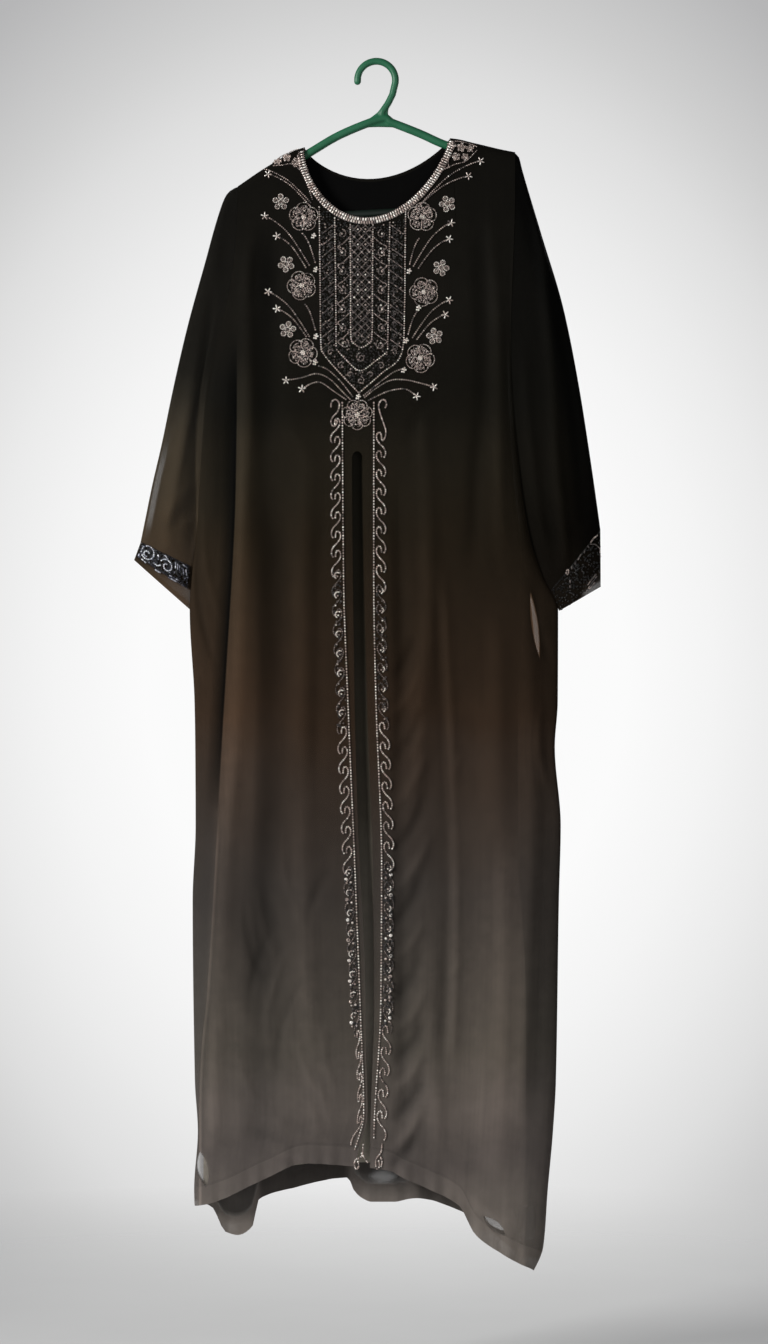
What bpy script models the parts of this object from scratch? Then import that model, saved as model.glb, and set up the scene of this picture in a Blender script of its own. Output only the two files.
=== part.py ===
"""A long chiffon kaftan with beaded trims, hung flat on a plastic hanger.

Metres, +Z up, the front faces -Y and left is -X. The origin is the inside top of the hanger's hook.
Sizes below are in millimetres and become metres where a mesh is made.
"""

import math
from typing import Callable, NamedTuple

import bmesh
import bpy
from mathutils import Vector

MM = 0.001

# Cloth and seams
CLOTH = 1.2
SEAM = 0.3
FACING = SEAM + CLOTH
BEADING = 1.6
BAND_THICKNESS = 2.0
BAND_WIDTH = 9.5
TRIM_CLEAR = 0.04
FRONT = -1
BACK = 1

# Shoulders: the cloth rolls over the hanger's arms, the chiffon outside the lining
ARM_RADIUS = 5.5
LAYER_SLACK = 0.6
LINING_ROLL = ARM_RADIUS + SEAM + LAYER_SLACK + CLOTH / 2
CHIFFON_ROLL = LINING_ROLL + FACING + LAYER_SLACK
SLOPE_STRETCH = 1.17
SHOULDER_END = 187
SEAM_EDGE = 0.36
ROLL_ANGLES = (0.0, math.radians(33), math.radians(61), math.radians(90))
EDGE_ROWS = len(ROLL_ANGLES) - 1

# Sections: how square their ends are, and where the folds begin below the shoulder
SECTION_POWER = 2.6
FOLDS_FROM = 120
FOLDS_FADE = 200

# Neck opening
NECK_CENTRE = 1.4
NECK_HALF_WIDTH = 98
NECK_HEIGHT = -105.3
NECK_RISE = 6
NECK_LEAN = -11
FRONT_NECK_DROP = 101.4
FRONT_NECK_POWER = 1.35
BACK_NECK_DROP = 47
BACK_NECK_POWER = 1.7
NECK_TURN = 1.5
NECK_TURN_ANGLE = 40

# Rows of the body panels
SLIT_TOP = -530
LEFT_UNDERARM = -640
RIGHT_UNDERARM = -692
YOKE_ROWS = 6
CHEST_ROWS = 8
ARM_ROWS = 4
SKIRT_ROWS = 18
LINING_CHEST_ROWS = 5
LINING_ARM_ROWS = 3
LINING_SKIRT_ROWS = 12
SETTLED = -456
HEM_HEIGHT = -1500

# Sleeves and cuffs
CUFF_ROUND = 4
CUFF_FULLNESS = 8
SLEEVE_RINGS = 10
RING_POWER = 1.4
SLEEVE_FULLNESS = 3
CUFF_RINGS = 3
ARMHOLE_GAP = 0.5
UNDERARM_GAP = 1.8

# Hanger
HOOK_RADIUS = 25.6
HOOK_THICKNESS = 8.8
HOOK_TIP_ANGLE = 193
HOOK_LAST_ANGLE = -18
ARM_DROP = 11
JUNCTION = (6, -73.6)


class Station(NamedTuple):
    """A place along an edge and the edge's distance there."""

    at: float
    value: float


class Side(NamedTuple):
    """The left and right edges of a panel at one height."""

    z: float
    left: float
    right: float


class Section(NamedTuple):
    """Half depths of the hanging garment at one drop below the shoulder."""

    drop: float
    front: float
    back: float
    lining: float


class Fold(NamedTuple):
    """A soft ridge that runs down a wall: its line, its height out of the wall and its half width."""

    top_x: float
    top_z: float
    low_x: float
    low_z: float
    height: float
    width: float


class Colour(NamedTuple):
    """A finish: linear red, green and blue, roughness and metallic."""

    rgb: tuple[float, float, float]
    roughness: float
    metallic: float = 0.0


SHOULDER = (
    Station(-215, -184),
    Station(-187, -164),
    Station(-140, -133),
    Station(-96.5, -111.4),
    Station(99, -99.2),
    Station(133, -106),
    Station(167, -114),
    Station(187, -118),
)

BODY_SIDES = (
    Side(-1640, -238, 206),
    Side(-1595, -241, 225),
    Side(-1518, -246, 231),
    Side(-1440, -241, 238),
    Side(-1371, -245, 242),
    Side(-1128, -248, 246),
    Side(-1027, -244, 248.5),
    Side(-921, -244.5, 240.5),
    Side(-860, -245.5, 244.5),
    Side(-735, -252, 245),
    Side(-692, -250, 225),
    Side(-640, -243, 207.5),
    Side(-560, -238, 194),
    Side(-470, -232, 185),
    Side(-380, -223, 180),
    Side(-300, -211, 179),
    Side(-203, -198, 181.5),
    Side(-164, -187, 186),
    Side(-118, -187, 188),
)

LINING_SIDES = (
    Side(-1560, -234, 188),
    Side(-1465, -233, 192),
    Side(-1370, -229, 200),
    Side(-1128, -219, 213),
    Side(-916, -206, 218),
    Side(-768, -197, 212),
    Side(-696, -192.5, 204),
    Side(-585, -190, 187),
    Side(-474, -188, 179),
    Side(-300, -186, 173.5),
    Side(-203, -183, 176),
    Side(-118, -180, 180),
)

SECTIONS = (
    Section(0, CHIFFON_ROLL, CHIFFON_ROLL, LINING_ROLL),
    Section(60, 10.4, 10, 7.4),
    Section(150, 12.6, 11.6, 8.2),
    Section(400, 17, 15, 10),
    Section(800, 21, 18, 12),
    Section(1100, 26, 21, 15),
    Section(1500, 34, 27, 19),
)

# Half depth along a free or seamed side edge, from the shoulder at 0 to the underarm at 1
CHIFFON_EDGE = (
    Station(0, CHIFFON_ROLL),
    Station(0.25, 10),
    Station(0.6, 9),
    Station(0.85, 4),
    Station(1, FACING / 2),
)
LINING_EDGE = (
    Station(0, LINING_ROLL),
    Station(0.5, LINING_ROLL),
    Station(0.75, 3),
    Station(0.9, FACING / 2),
)

FRONT_HEM = (
    Station(-243, -1545),
    Station(-222, -1540),
    Station(-150, -1506),
    Station(-98, -1484),
    Station(-30, -1488),
    Station(18, -1494),
    Station(32, -1502),
    Station(66, -1517),
    Station(114, -1545),
    Station(131, -1579),
    Station(163, -1608),
    Station(205, -1631),
)
BACK_HEM = (
    Station(-243, -1530),
    Station(-222, -1541),
    Station(-207, -1574),
    Station(-190, -1579),
    Station(-170, -1568),
    Station(-158, -1530),
    Station(-117, -1517),
    Station(-40, -1503),
    Station(-22, -1518),
    Station(8, -1535),
    Station(56, -1530),
    Station(114, -1546),
    Station(205, -1622),
)
LINING_HEM = (
    Station(-234, -1513),
    Station(-150, -1491),
    Station(-60, -1479),
    Station(18, -1481),
    Station(66, -1501),
    Station(114, -1529),
    Station(190, -1541),
)

# Lines down the front, each from its top to its bottom
LEFT_BEADS = (
    Station(-1560, -32),
    Station(-1480, -32),
    Station(-1412, -17),
    Station(-1263, -22),
    Station(-1080, -29),
    Station(-855, -38.5),
    Station(-700, -44),
    Station(-456, -46),
)
RIGHT_BEADS = (
    Station(-1560, -5),
    Station(-1432, -3),
    Station(-1263, 6),
    Station(-1080, 7),
    Station(-855, -0.7),
    Station(-700, -3.5),
    Station(-456, -3.5),
)
LEFT_SLIT = (
    Station(-1560, -28),
    Station(-1480, -28),
    Station(-1412, -15),
    Station(-1263, -14.6),
    Station(-1024, -25),
    Station(-855, -29.5),
    Station(-530, -33),
    Station(-200, -29),
)
RIGHT_SLIT = (
    Station(-1560, -8.5),
    Station(-1432, -8),
    Station(-1263, -3),
    Station(-1080, -5),
    Station(-855, -12.8),
    Station(-530, -19),
    Station(-200, -10),
)
YOKE_LEFT = -76
YOKE_RIGHT = 38.5
YOKE_FOOT = -400
BORDER_WIDTH = 19
BORDER_MARGIN = 3

FRONT_FOLDS = (
    Fold(-190, -560, -222, -1520, 5, 14),
    Fold(-175, -300, -176, -1500, -5, 16),
    Fold(-150, -560, -142, -1500, 5, 16),
    Fold(-116, -420, -112, -1480, -4, 13),
    Fold(-88, -620, -82, -1480, 4, 12),
    Fold(34, -560, 36, -1500, 4, 12),
    Fold(72, -480, 66, -1540, -4, 14),
    Fold(95, -620, 112, -1560, 5, 12),
    Fold(140, -520, 138, -1580, -5, 15),
    Fold(172, -640, 168, -1600, 5, 14),
    Fold(196, -760, 200, -1600, -5, 13),
)
BACK_FOLDS = (
    Fold(-170, -560, -196, -1560, 6, 16),
    Fold(-150, -520, -160, -1540, -6, 15),
    Fold(-110, -480, -118, -1510, 5, 17),
    Fold(-62, -600, -66, -1500, -5, 15),
    Fold(-20, -520, -26, -1530, 6, 15),
    Fold(24, -640, 20, -1540, -5, 16),
    Fold(66, -500, 70, -1540, 5, 15),
    Fold(112, -560, 116, -1560, -5, 16),
    Fold(160, -620, 170, -1600, 5, 15),
)

BLACK_CHIFFON = Colour((0.012, 0.011, 0.009), 0.75)
BROWN_CHIFFON = Colour((0.045, 0.035, 0.028), 0.75)
DARK_LINING = Colour((0.02, 0.018, 0.014), 0.6)
SILVER_BEADS = Colour((0.42, 0.36, 0.32), 0.35, 0.6)
DARK_BEADS = Colour((0.05, 0.045, 0.042), 0.35, 0.4)
GREEN_PLASTIC = Colour((0.012, 0.11, 0.055), 0.35)


def curve_at(rows, at: float) -> float:
    """Height of the smooth curve through (at, value) rows, flat beyond its ends and with no overshoot."""
    places = [row[0] for row in rows]
    values = [row[1] for row in rows]
    if places[0] > places[-1]:
        places.reverse()
        values.reverse()
    if at <= places[0]:
        return values[0]
    if at >= places[-1]:
        return values[-1]
    slopes = [(values[i + 1] - values[i]) / (places[i + 1] - places[i]) for i in range(len(values) - 1)]
    bends = [slopes[0]]
    for before, after in zip(slopes, slopes[1:]):
        bends.append(0 if before * after <= 0 else 2 * before * after / (before + after))
    bends.append(slopes[-1])
    i = max(k for k in range(len(slopes)) if places[k] <= at)
    width = places[i + 1] - places[i]
    t = (at - places[i]) / width
    rise = values[i + 1] - values[i]
    from_start = bends[i] * width
    from_end = bends[i + 1] * width
    square = 3 * rise - 2 * from_start - from_end
    cube = from_start + from_end - 2 * rise
    return values[i] + t * (from_start + t * (square + t * cube))


def ease(t: float) -> float:
    """A smooth step from 0 to 1."""
    t = min(max(t, 0.0), 1.0)
    return t * t * (3 - 2 * t)


def mix(a: float, b: float, t: float) -> float:
    """The value a share t of the way from a to b."""
    return a + (b - a) * t


def side_at(sides, z: float) -> tuple[float, float]:
    """Left and right edge of a panel at a height."""
    left = curve_at([(side.z, side.left) for side in sides], z)
    right = curve_at([(side.z, side.right) for side in sides], z)
    return left, right


def drop_at(x: float, z: float) -> float:
    """Distance down from the shoulder line."""
    return max(curve_at(SHOULDER, x) - z, 0.0)


def fold_height(folds, x: float, z: float) -> float:
    """Sum of the folds at a point of a wall, each fading in below its top."""
    total = 0.0
    for fold in folds:
        along = (fold.top_z - z) / (fold.top_z - fold.low_z)
        line = mix(fold.top_x, fold.low_x, min(max(along, 0.0), 1.2))
        across = (x - line) / fold.width
        deepening = mix(0.55, 1.15, max(along, 0.0))
        total += fold.height * math.exp(-across * across) * ease(along * 2.5 + 0.2) * deepening
    return total


class Wall(NamedTuple):
    """One body panel: which way it faces, its edges, its depth column, its edge depths and its folds."""

    face: int
    sides: tuple
    depth: str
    edge: tuple
    folds: tuple
    roll: float

    def depth_at(self, x: float, z: float) -> float:
        """The wall's signed Y at a place on it."""
        left, right = side_at(self.sides, z)
        share = min(max((2 * x - left - right) / (right - left), -1.0), 1.0)
        drop = drop_at(x, z)
        full = curve_at([(row.drop, getattr(row, self.depth)) for row in SECTIONS], drop)
        left_top = curve_at(SHOULDER, -SHOULDER_END)
        right_top = curve_at(SHOULDER, SHOULDER_END)
        left_edge = curve_at(self.edge, (left_top - z) / (left_top - LEFT_UNDERARM))
        right_edge = curve_at(self.edge, (right_top - z) / (right_top - RIGHT_UNDERARM))
        edge = mix(left_edge, right_edge, (share + 1) / 2)
        bulge = math.sqrt(1 - abs(share) ** SECTION_POWER)
        folds = fold_height(self.folds, x, z) * ease(bulge * 1.6) * ease((drop - FOLDS_FROM) / FOLDS_FADE)
        depth = edge + (full - edge) * bulge + folds
        roll_height = self.roll * SLOPE_STRETCH
        rolled = math.sqrt(1 - (1 - min(drop / roll_height, 1.0)) ** 2)
        return self.face * max(depth * rolled, SEAM_EDGE)


FRONT_WALL = Wall(FRONT, BODY_SIDES, "front", CHIFFON_EDGE, FRONT_FOLDS, CHIFFON_ROLL)
BACK_WALL = Wall(BACK, BODY_SIDES, "back", CHIFFON_EDGE, BACK_FOLDS, CHIFFON_ROLL)
LINING_FRONT = Wall(FRONT, LINING_SIDES, "lining", LINING_EDGE, (), LINING_ROLL)
LINING_BACK = Wall(BACK, LINING_SIDES, "lining", LINING_EDGE, (), LINING_ROLL)


class Column(NamedTuple):
    """A line of points down a panel: where it starts on the top edge and where it runs below."""

    shoulder_x: float | None
    neck_angle: float
    lane: Callable[[float], float]


def neck_point(wall: Wall, angle: float) -> tuple[float, float]:
    """A point of the neckline, by its angle: 180 at the left neck point, 90 at the bottom and 0 at the right."""
    drop, power = (FRONT_NECK_DROP, FRONT_NECK_POWER)
    if wall.face == BACK:
        drop, power = (BACK_NECK_DROP, BACK_NECK_POWER)
    turn = math.radians(angle)
    sine = max(math.sin(turn), 0.0)
    x = NECK_CENTRE + NECK_HALF_WIDTH * math.cos(turn) + NECK_LEAN * sine * drop / FRONT_NECK_DROP
    return x, NECK_HEIGHT + NECK_RISE * math.cos(turn) - drop * sine**power


def neck_outward(wall: Wall, angle: float) -> tuple[float, float]:
    """Step from the neckline across one unit of band: square to the neckline, and turned down by the shoulders."""
    before = neck_point(wall, min(angle + 1, 180))
    after = neck_point(wall, max(angle - 1, 0))
    run = (after[0] - before[0], after[1] - before[1])
    size = math.hypot(*run)
    square = (run[1] / size, -run[0] / size)
    from_shoulder = min(angle, 180 - angle)
    turned = NECK_TURN * max(1 - from_shoulder / NECK_TURN_ANGLE, 0)
    across = (square[0], square[1] - turned)
    stretch = 1 / max(square[0] * across[0] + square[1] * across[1], 0.6)
    return across[0] * stretch, across[1] * stretch


def edge_row(wall: Wall, column: Column, row: int) -> tuple[float, float]:
    """X and Z of the first rows: the roll over the hanger, or the width of the neck band."""
    lowered = (CHIFFON_ROLL - wall.roll) * SLOPE_STRETCH + CLOTH / 2
    if column.shoulder_x is not None:
        fall = wall.roll * SLOPE_STRETCH * (1 - math.cos(ROLL_ANGLES[row]))
        return column.shoulder_x, curve_at(SHOULDER, column.shoulder_x) - fall - lowered
    x, z = neck_point(wall, column.neck_angle)
    out_x, out_z = neck_outward(wall, column.neck_angle)
    step = BAND_WIDTH * row / EDGE_ROWS + (CHIFFON_ROLL - wall.roll)
    return x + out_x * step, z + out_z * step - lowered


def underarm_at(x: float) -> float:
    """Height of the row that runs from one underarm to the other."""
    left = side_at(BODY_SIDES, LEFT_UNDERARM)[0]
    right = side_at(BODY_SIDES, RIGHT_UNDERARM)[1]
    return mix(LEFT_UNDERARM, RIGHT_UNDERARM, min(max((x - left) / (right - left), 0.0), 1.0))


def panel_points(wall: Wall, columns, hem, chest_rows: int, arm_rows: int, skirt_rows: int):
    """Points of a body panel, one list for each column, from the top edge to the hem."""
    lowered = (CHIFFON_ROLL - wall.roll) * SLOPE_STRETCH + CLOTH / 2
    points = []
    for column in columns:
        line = [edge_row(wall, column, row) for row in range(EDGE_ROWS + 1)]
        start_x, start_z = line[-1]
        arm_z = underarm_at(column.lane(LEFT_UNDERARM))
        hem_z = curve_at(hem, column.lane(HEM_HEIGHT))
        heights = [mix(start_z, SLIT_TOP, k / chest_rows) for k in range(1, chest_rows + 1)]
        heights += [mix(SLIT_TOP, arm_z, k / arm_rows) for k in range(1, arm_rows + 1)]
        heights += [mix(arm_z, hem_z, k / skirt_rows) for k in range(1, skirt_rows + 1)]
        for z in heights:
            settled = ease((start_z - z) / (start_z - SETTLED)) if z > SETTLED else 1.0
            line.append((mix(start_x, column.lane(z), settled), z))
        points.append([Vector((x, wall.depth_at(x, z + lowered), z)) for x, z in line])
    return points


def metres(points):
    """The same points in metres."""
    return [[point * MM for point in line] for line in points]


def material_for(name: str, colour: Colour) -> bpy.types.Material:
    """A Principled material with the colour, roughness and metallic value given."""
    material = bpy.data.materials.new(name)
    material.use_nodes = True
    shader = material.node_tree.nodes["Principled BSDF"]
    shader.inputs["Base Color"].default_value = (*colour.rgb, 1)
    shader.inputs["Roughness"].default_value = colour.roughness
    shader.inputs["Metallic"].default_value = colour.metallic
    material.diffuse_color = (*colour.rgb, 1)
    return material


def grid_mesh(points, skipped=frozenset()) -> bmesh.types.BMesh:
    """A grid laid on points[column][row], with the cells (column, row) in skipped taken out."""
    columns = len(points) - 1
    rows = len(points[0]) - 1
    mesh = bmesh.new()
    bmesh.ops.create_grid(mesh, x_segments=columns, y_segments=rows, size=1)
    cells = {}
    for vertex in mesh.verts:
        cells[vertex] = (round((vertex.co.x + 1) / 2 * columns), round((1 - vertex.co.y) / 2 * rows))
    holes = []
    for face in mesh.faces:
        corner = (min(cells[v][0] for v in face.verts), min(cells[v][1] for v in face.verts))
        if corner in skipped:
            holes.append(face)
    for vertex, (column, row) in cells.items():
        vertex.co = points[column][row]
    bmesh.ops.delete(mesh, geom=holes, context="FACES")
    return mesh


def add_sheet(name: str, points, colour: Colour, thickness: float = CLOTH, skipped=frozenset()):
    """A cloth wall: a grid laid on the points, thickened to both sides."""
    mesh = grid_mesh(metres(points), skipped)
    data = bpy.data.meshes.new(name)
    mesh.to_mesh(data)
    mesh.free()
    sheet = bpy.data.objects.new(name, data)
    data.materials.append(material_for(name, colour))
    collection.objects.link(sheet)
    wall = sheet.modifiers.new("Wall", "SOLIDIFY")
    wall.thickness = thickness * MM
    wall.offset = 0
    return sheet


def lifted(points, distance: float):
    """The same points moved off the panel along its normals, towards -Y."""
    moved = []
    last_column = len(points) - 1
    last_row = len(points[0]) - 1
    for i, line in enumerate(points):
        moved_line = []
        for j, point in enumerate(line):
            across = points[min(i + 1, last_column)][j] - points[max(i - 1, 0)][j]
            down = line[min(j + 1, last_row)] - line[max(j - 1, 0)]
            moved_line.append(point + across.cross(down).normalized() * -distance)
        moved.append(moved_line)
    return moved


def lane_between(left, right, share: float) -> Callable[[float], float]:
    """A line that keeps a share of the way from one line to the other at every height."""
    return lambda z: mix(left(z), right(z), share)


def left_side(z: float) -> float:
    """Left edge of the body at a height."""
    return side_at(BODY_SIDES, z)[0]


def right_side(z: float) -> float:
    """Right edge of the body at a height."""
    return side_at(BODY_SIDES, z)[1]


def yoke_or(line: float, yoke: float, z: float) -> float:
    """The yoke's edge above the yoke's foot, and the border's line below it."""
    return mix(yoke, line, ease((YOKE_FOOT - z) / (YOKE_FOOT - SETTLED)))


def left_border_outer(z: float) -> float:
    """Outer edge of the left beaded border."""
    return yoke_or(curve_at(LEFT_BEADS, z) - BORDER_WIDTH + BORDER_MARGIN, YOKE_LEFT, z)


def left_border_inner(z: float) -> float:
    """Edge of the left border by the slit."""
    return yoke_or(curve_at(LEFT_BEADS, z) + BORDER_MARGIN, YOKE_LEFT + 30, z)


def left_slit(z: float) -> float:
    """Left edge of the slit, always past the border."""
    return max(curve_at(LEFT_SLIT, z), left_border_inner(z) + 2)


def right_border_inner(z: float) -> float:
    """Edge of the right border by the slit."""
    return yoke_or(curve_at(RIGHT_BEADS, z) - BORDER_MARGIN, YOKE_RIGHT - 30, z)


def right_border_outer(z: float) -> float:
    """Outer edge of the right beaded border."""
    return yoke_or(curve_at(RIGHT_BEADS, z) + BORDER_WIDTH - BORDER_MARGIN, YOKE_RIGHT, z)


def right_slit(z: float) -> float:
    """Right edge of the slit, never past the border."""
    return min(curve_at(RIGHT_SLIT, z), right_border_inner(z) - 2)


# Columns of the front: five shoulder cells, five beside the neck, seven of yoke and border, and the same again
SIDE_SHARES = (0, 0.04, 0.14, 0.25, 0.36, 0.47, 0.58, 0.69, 0.8, 0.9)
LEFT_SHOULDER = (-SHOULDER_END, -169, -151, -133, -115)
RIGHT_SHOULDER = (115, 133, 151, 169, SHOULDER_END)
LEFT_NECK_ANGLES = (180, 170, 160, 150, 140)
YOKE_ANGLES = (131, 120.4, 109.9, 99.3, 88.7, 78.1, 67.6, 57)
RIGHT_NECK_ANGLES = (46, 35, 23, 11, 0)
SLIT_COLUMN = 13
FIRST_BORDER_COLUMN = 10
LAST_BORDER_COLUMN = 17
FIRST_NECK_COLUMN = 5
LAST_NECK_COLUMN = 22


def front_columns() -> list[Column]:
    """The front's columns, from the left armhole to the right one."""
    columns = []
    left_tops = [(x, 0) for x in LEFT_SHOULDER] + [(None, angle) for angle in LEFT_NECK_ANGLES]
    for (x, angle), share in zip(left_tops, SIDE_SHARES):
        columns.append(Column(x, angle, lane_between(left_side, left_border_outer, share)))
    lanes = (
        left_border_outer,
        lane_between(left_border_outer, left_border_inner, 0.5),
        left_border_inner,
        left_slit,
        right_slit,
        right_border_inner,
        lane_between(right_border_inner, right_border_outer, 0.5),
        right_border_outer,
    )
    columns += [Column(None, angle, lane) for angle, lane in zip(YOKE_ANGLES, lanes)]
    right_tops = [(None, angle) for angle in RIGHT_NECK_ANGLES] + [(x, 0) for x in RIGHT_SHOULDER]
    for (x, angle), share in zip(right_tops, reversed(SIDE_SHARES)):
        columns.append(Column(x, angle, lane_between(right_side, right_border_outer, share)))
    return columns


def plain_columns(sides, inset: float, shoulder_cells: int, neck_cells: int, first_share: float) -> list[Column]:
    """Columns of a plain panel: even on the shoulders and round the neck, with a narrow cell at each side."""
    total = 2 * shoulder_cells + neck_cells
    shares = [0, *(mix(first_share, 1 - first_share, k / (total - 2)) for k in range(total - 1)), 1]
    neck_left, _ = neck_point(FRONT_WALL, 180)
    neck_right, _ = neck_point(FRONT_WALL, 0)
    tops = []
    for k in range(shoulder_cells):
        tops.append((mix(inset - SHOULDER_END, neck_left, k / shoulder_cells), 0))
    for k in range(neck_cells + 1):
        tops.append((None, 90 + 90 * math.cos(math.pi * k / neck_cells)))
    for k in range(1, shoulder_cells + 1):
        tops.append((mix(neck_right, SHOULDER_END - inset, k / shoulder_cells), 0))

    def left_edge(z: float) -> float:
        return side_at(sides, z)[0]

    def right_edge(z: float) -> float:
        return side_at(sides, z)[1]

    return [
        Column(x, angle, lane_between(left_edge, right_edge, share))
        for (x, angle), share in zip(tops, shares)
    ]




class Sleeve(NamedTuple):
    """One sleeve: its side of the body, its outer fold, and the ends of its cuff's two edges."""

    name: str
    turn: int
    fold: tuple
    cuff_outer: tuple[float, float]
    cuff_inner: tuple[float, float]
    hem_outer: tuple[float, float]
    hem_inner: tuple[float, float]


LEFT_SLEEVE = Sleeve(
    "left",
    -1,
    (
        Station(-164.6, -187),
        Station(-169, -197),
        Station(-176, -204),
        Station(-192, -211),
        Station(-273, -234),
        Station(-354, -256),
        Station(-435, -274.5),
        Station(-516, -288),
        Station(-566, -301),
        Station(-611, -307),
        Station(-646, -318.5),
    ),
    (-318.5, -646),
    (-251.3, -680),
    (-327, -669),
    (-254, -734),
)
RIGHT_SLEEVE = Sleeve(
    "right",
    1,
    (
        Station(-118.6, 187),
        Station(-125, 193.5),
        Station(-142, 198),
        Station(-227, 223),
        Station(-329, 253),
        Station(-430, 273),
        Station(-530, 288.5),
        Station(-605, 299),
        Station(-628, 302),
    ),
    (302, -628),
    (236.3, -712),
    (302.5, -705),
    (246.9, -737.5),
)


def cuff_share(step: int, last: int, length: float) -> float:
    """How far along the cuff a column lies: round the fold first, then evenly."""
    if step <= EDGE_ROWS:
        return CUFF_ROUND * (1 - math.cos(ROLL_ANGLES[step])) / length
    start = CUFF_ROUND / length
    return mix(start, 1, (step - EDGE_ROWS) / (last - EDGE_ROWS))


def cuff_depth(step: int, share: float) -> float:
    """Half depth of the open cuff at a column."""
    if step == 0:
        return 0.0
    rounding = CUFF_ROUND * (math.sin(ROLL_ANGLES[step]) if step <= EDGE_ROWS else 1.0)
    closing = math.sqrt(max(1 - share**4, 0.0))
    return max(rounding * closing + CUFF_FULLNESS * math.sin(math.pi * share) ** 0.8, FACING / 2)


def sleeve_points(sleeve: Sleeve, front, back):
    """Points of a sleeve, a line for each column, from the armhole to the cuff."""
    last = EDGE_ROWS + CHEST_ROWS + ARM_ROWS
    outer, inner = Vector(sleeve.cuff_outer), Vector(sleeve.cuff_inner)
    length = (inner - outer).length
    top_z = sleeve.fold[0].at
    side = 0 if sleeve.turn < 0 else 1
    under_z = front[last].z
    under = Vector((side_at(BODY_SIDES, under_z)[side] + sleeve.turn * UNDERARM_GAP, under_z))
    points = []
    for face, body in ((FRONT, front), (BACK, back)):
        lines = []
        for step in range(last + 1):
            spread = step / last
            gap = mix(ARMHOLE_GAP, UNDERARM_GAP, spread**8)
            start = Vector((body[step].x + sleeve.turn * gap, body[step].z))
            if step == 0:
                start.y = curve_at(SHOULDER, body[0].x) - CLOTH / 2
            share = cuff_share(step, last, length)
            end = outer.lerp(inner, share)
            start_depth = 0.0 if step == 0 else abs(body[step].y)
            line = []
            for ring in range(SLEEVE_RINGS + 1):
                t = (ring / SLEEVE_RINGS) ** RING_POWER
                fold_z = mix(top_z, outer.y, t)
                fold = Vector((curve_at(sleeve.fold, fold_z), fold_z))
                seam_z = mix(under_z, inner.y, t)
                seam = Vector((side_at(BODY_SIDES, seam_z)[side] + sleeve.turn * UNDERARM_GAP, seam_z))
                base = start.lerp(end, t)
                sides = fold.lerp(seam, spread)
                fold_start = Vector((curve_at(sleeve.fold, top_z), top_z))
                corners = fold_start.lerp(outer, t).lerp(under.lerp(inner, t), spread)
                flat = base + sides - corners
                full = SLEEVE_FULLNESS * math.sin(math.pi * t) * math.sin(math.pi * spread)
                depth = mix(start_depth, cuff_depth(step, share), ease(t)) + full
                line.append(Vector((flat.x, face * depth, flat.y)))
            lines.append(line)
        points.append(lines)
    ahead, behind = points
    return [*reversed(ahead), *behind[1:]]


def cuff_points(sleeve: Sleeve, sleeve_grid):
    """Points of a cuff: the sleeve's last ring, carried on to the cuff's own edge."""
    last = EDGE_ROWS + CHEST_ROWS + ARM_ROWS
    outer, inner = Vector(sleeve.cuff_outer), Vector(sleeve.cuff_inner)
    length = (inner - outer).length
    hem_outer, hem_inner = Vector(sleeve.hem_outer), Vector(sleeve.hem_inner)
    points = []
    for index, line in enumerate(sleeve_grid):
        share = cuff_share(abs(index - last), last, length)
        edge = hem_outer.lerp(hem_inner, share)
        start = Vector((line[-1].x, line[-1].z))
        gap = ARMHOLE_GAP / (edge - start).length
        cuff_line = []
        for ring in range(CUFF_RINGS + 1):
            flat = start.lerp(edge, mix(gap, 1, ring / CUFF_RINGS))
            cuff_line.append(Vector((flat.x, line[-1].y, flat.y)))
        points.append(cuff_line)
    return points


def smooth_path(stations, steps: int):
    """Points on the Catmull-Rom curve through the stations, a closed loop."""
    path = []
    count = len(stations)
    for i in range(count):
        before, start, end, after = (Vector(stations[(i + k) % count]) for k in (-1, 0, 1, 2))
        for k in range(steps):
            t = k / steps
            path.append(
                0.5
                * (
                    2 * start
                    + (end - before) * t
                    + (2 * before - 5 * start + 4 * end - after) * t * t
                    + (3 * start - before - 3 * end + after) * t**3
                )
            )
    return path


def add_tube(name: str, path, radius: float, closed: bool):
    """A round tube along a path in the XZ plane, as a welded mesh."""
    data = bpy.data.curves.new(name, "CURVE")
    data.dimensions = "3D"
    data.bevel_depth = radius * MM
    data.bevel_resolution = 1
    data.use_fill_caps = True
    spline = data.splines.new("POLY")
    spline.points.add(len(path) - 1)
    for point, place in zip(spline.points, path):
        point.co = (place.x * MM, 0, place.y * MM, 1)
    spline.use_cyclic_u = closed
    tube = bpy.data.objects.new(name, data)
    bpy.context.scene.collection.objects.link(tube)
    graph = bpy.context.evaluated_depsgraph_get()
    mesh = bpy.data.meshes.new_from_object(tube.evaluated_get(graph))
    bpy.data.objects.remove(tube)
    welded = bmesh.new()
    welded.from_mesh(mesh)
    bmesh.ops.remove_doubles(welded, verts=welded.verts, dist=0.01 * MM)
    bmesh.ops.recalc_face_normals(welded, faces=welded.faces)
    welded.to_mesh(mesh)
    welded.free()
    return bpy.data.objects.new(name, mesh)


def hook_path():
    """Centre line of the hook, from its free end over the top and down into the arms."""
    centre = Vector((0, HOOK_THICKNESS / 2 - HOOK_RADIUS))
    path = []
    turns = 22
    for k in range(turns + 1):
        angle = math.radians(mix(HOOK_TIP_ANGLE, HOOK_LAST_ANGLE, k / turns))
        path.append(centre + HOOK_RADIUS * Vector((math.cos(angle), math.sin(angle))))
    path += [Vector((21.5, -41)), Vector((15.5, -53)), Vector((8.5, -63)), Vector((5.5, -75))]
    return path


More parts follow.
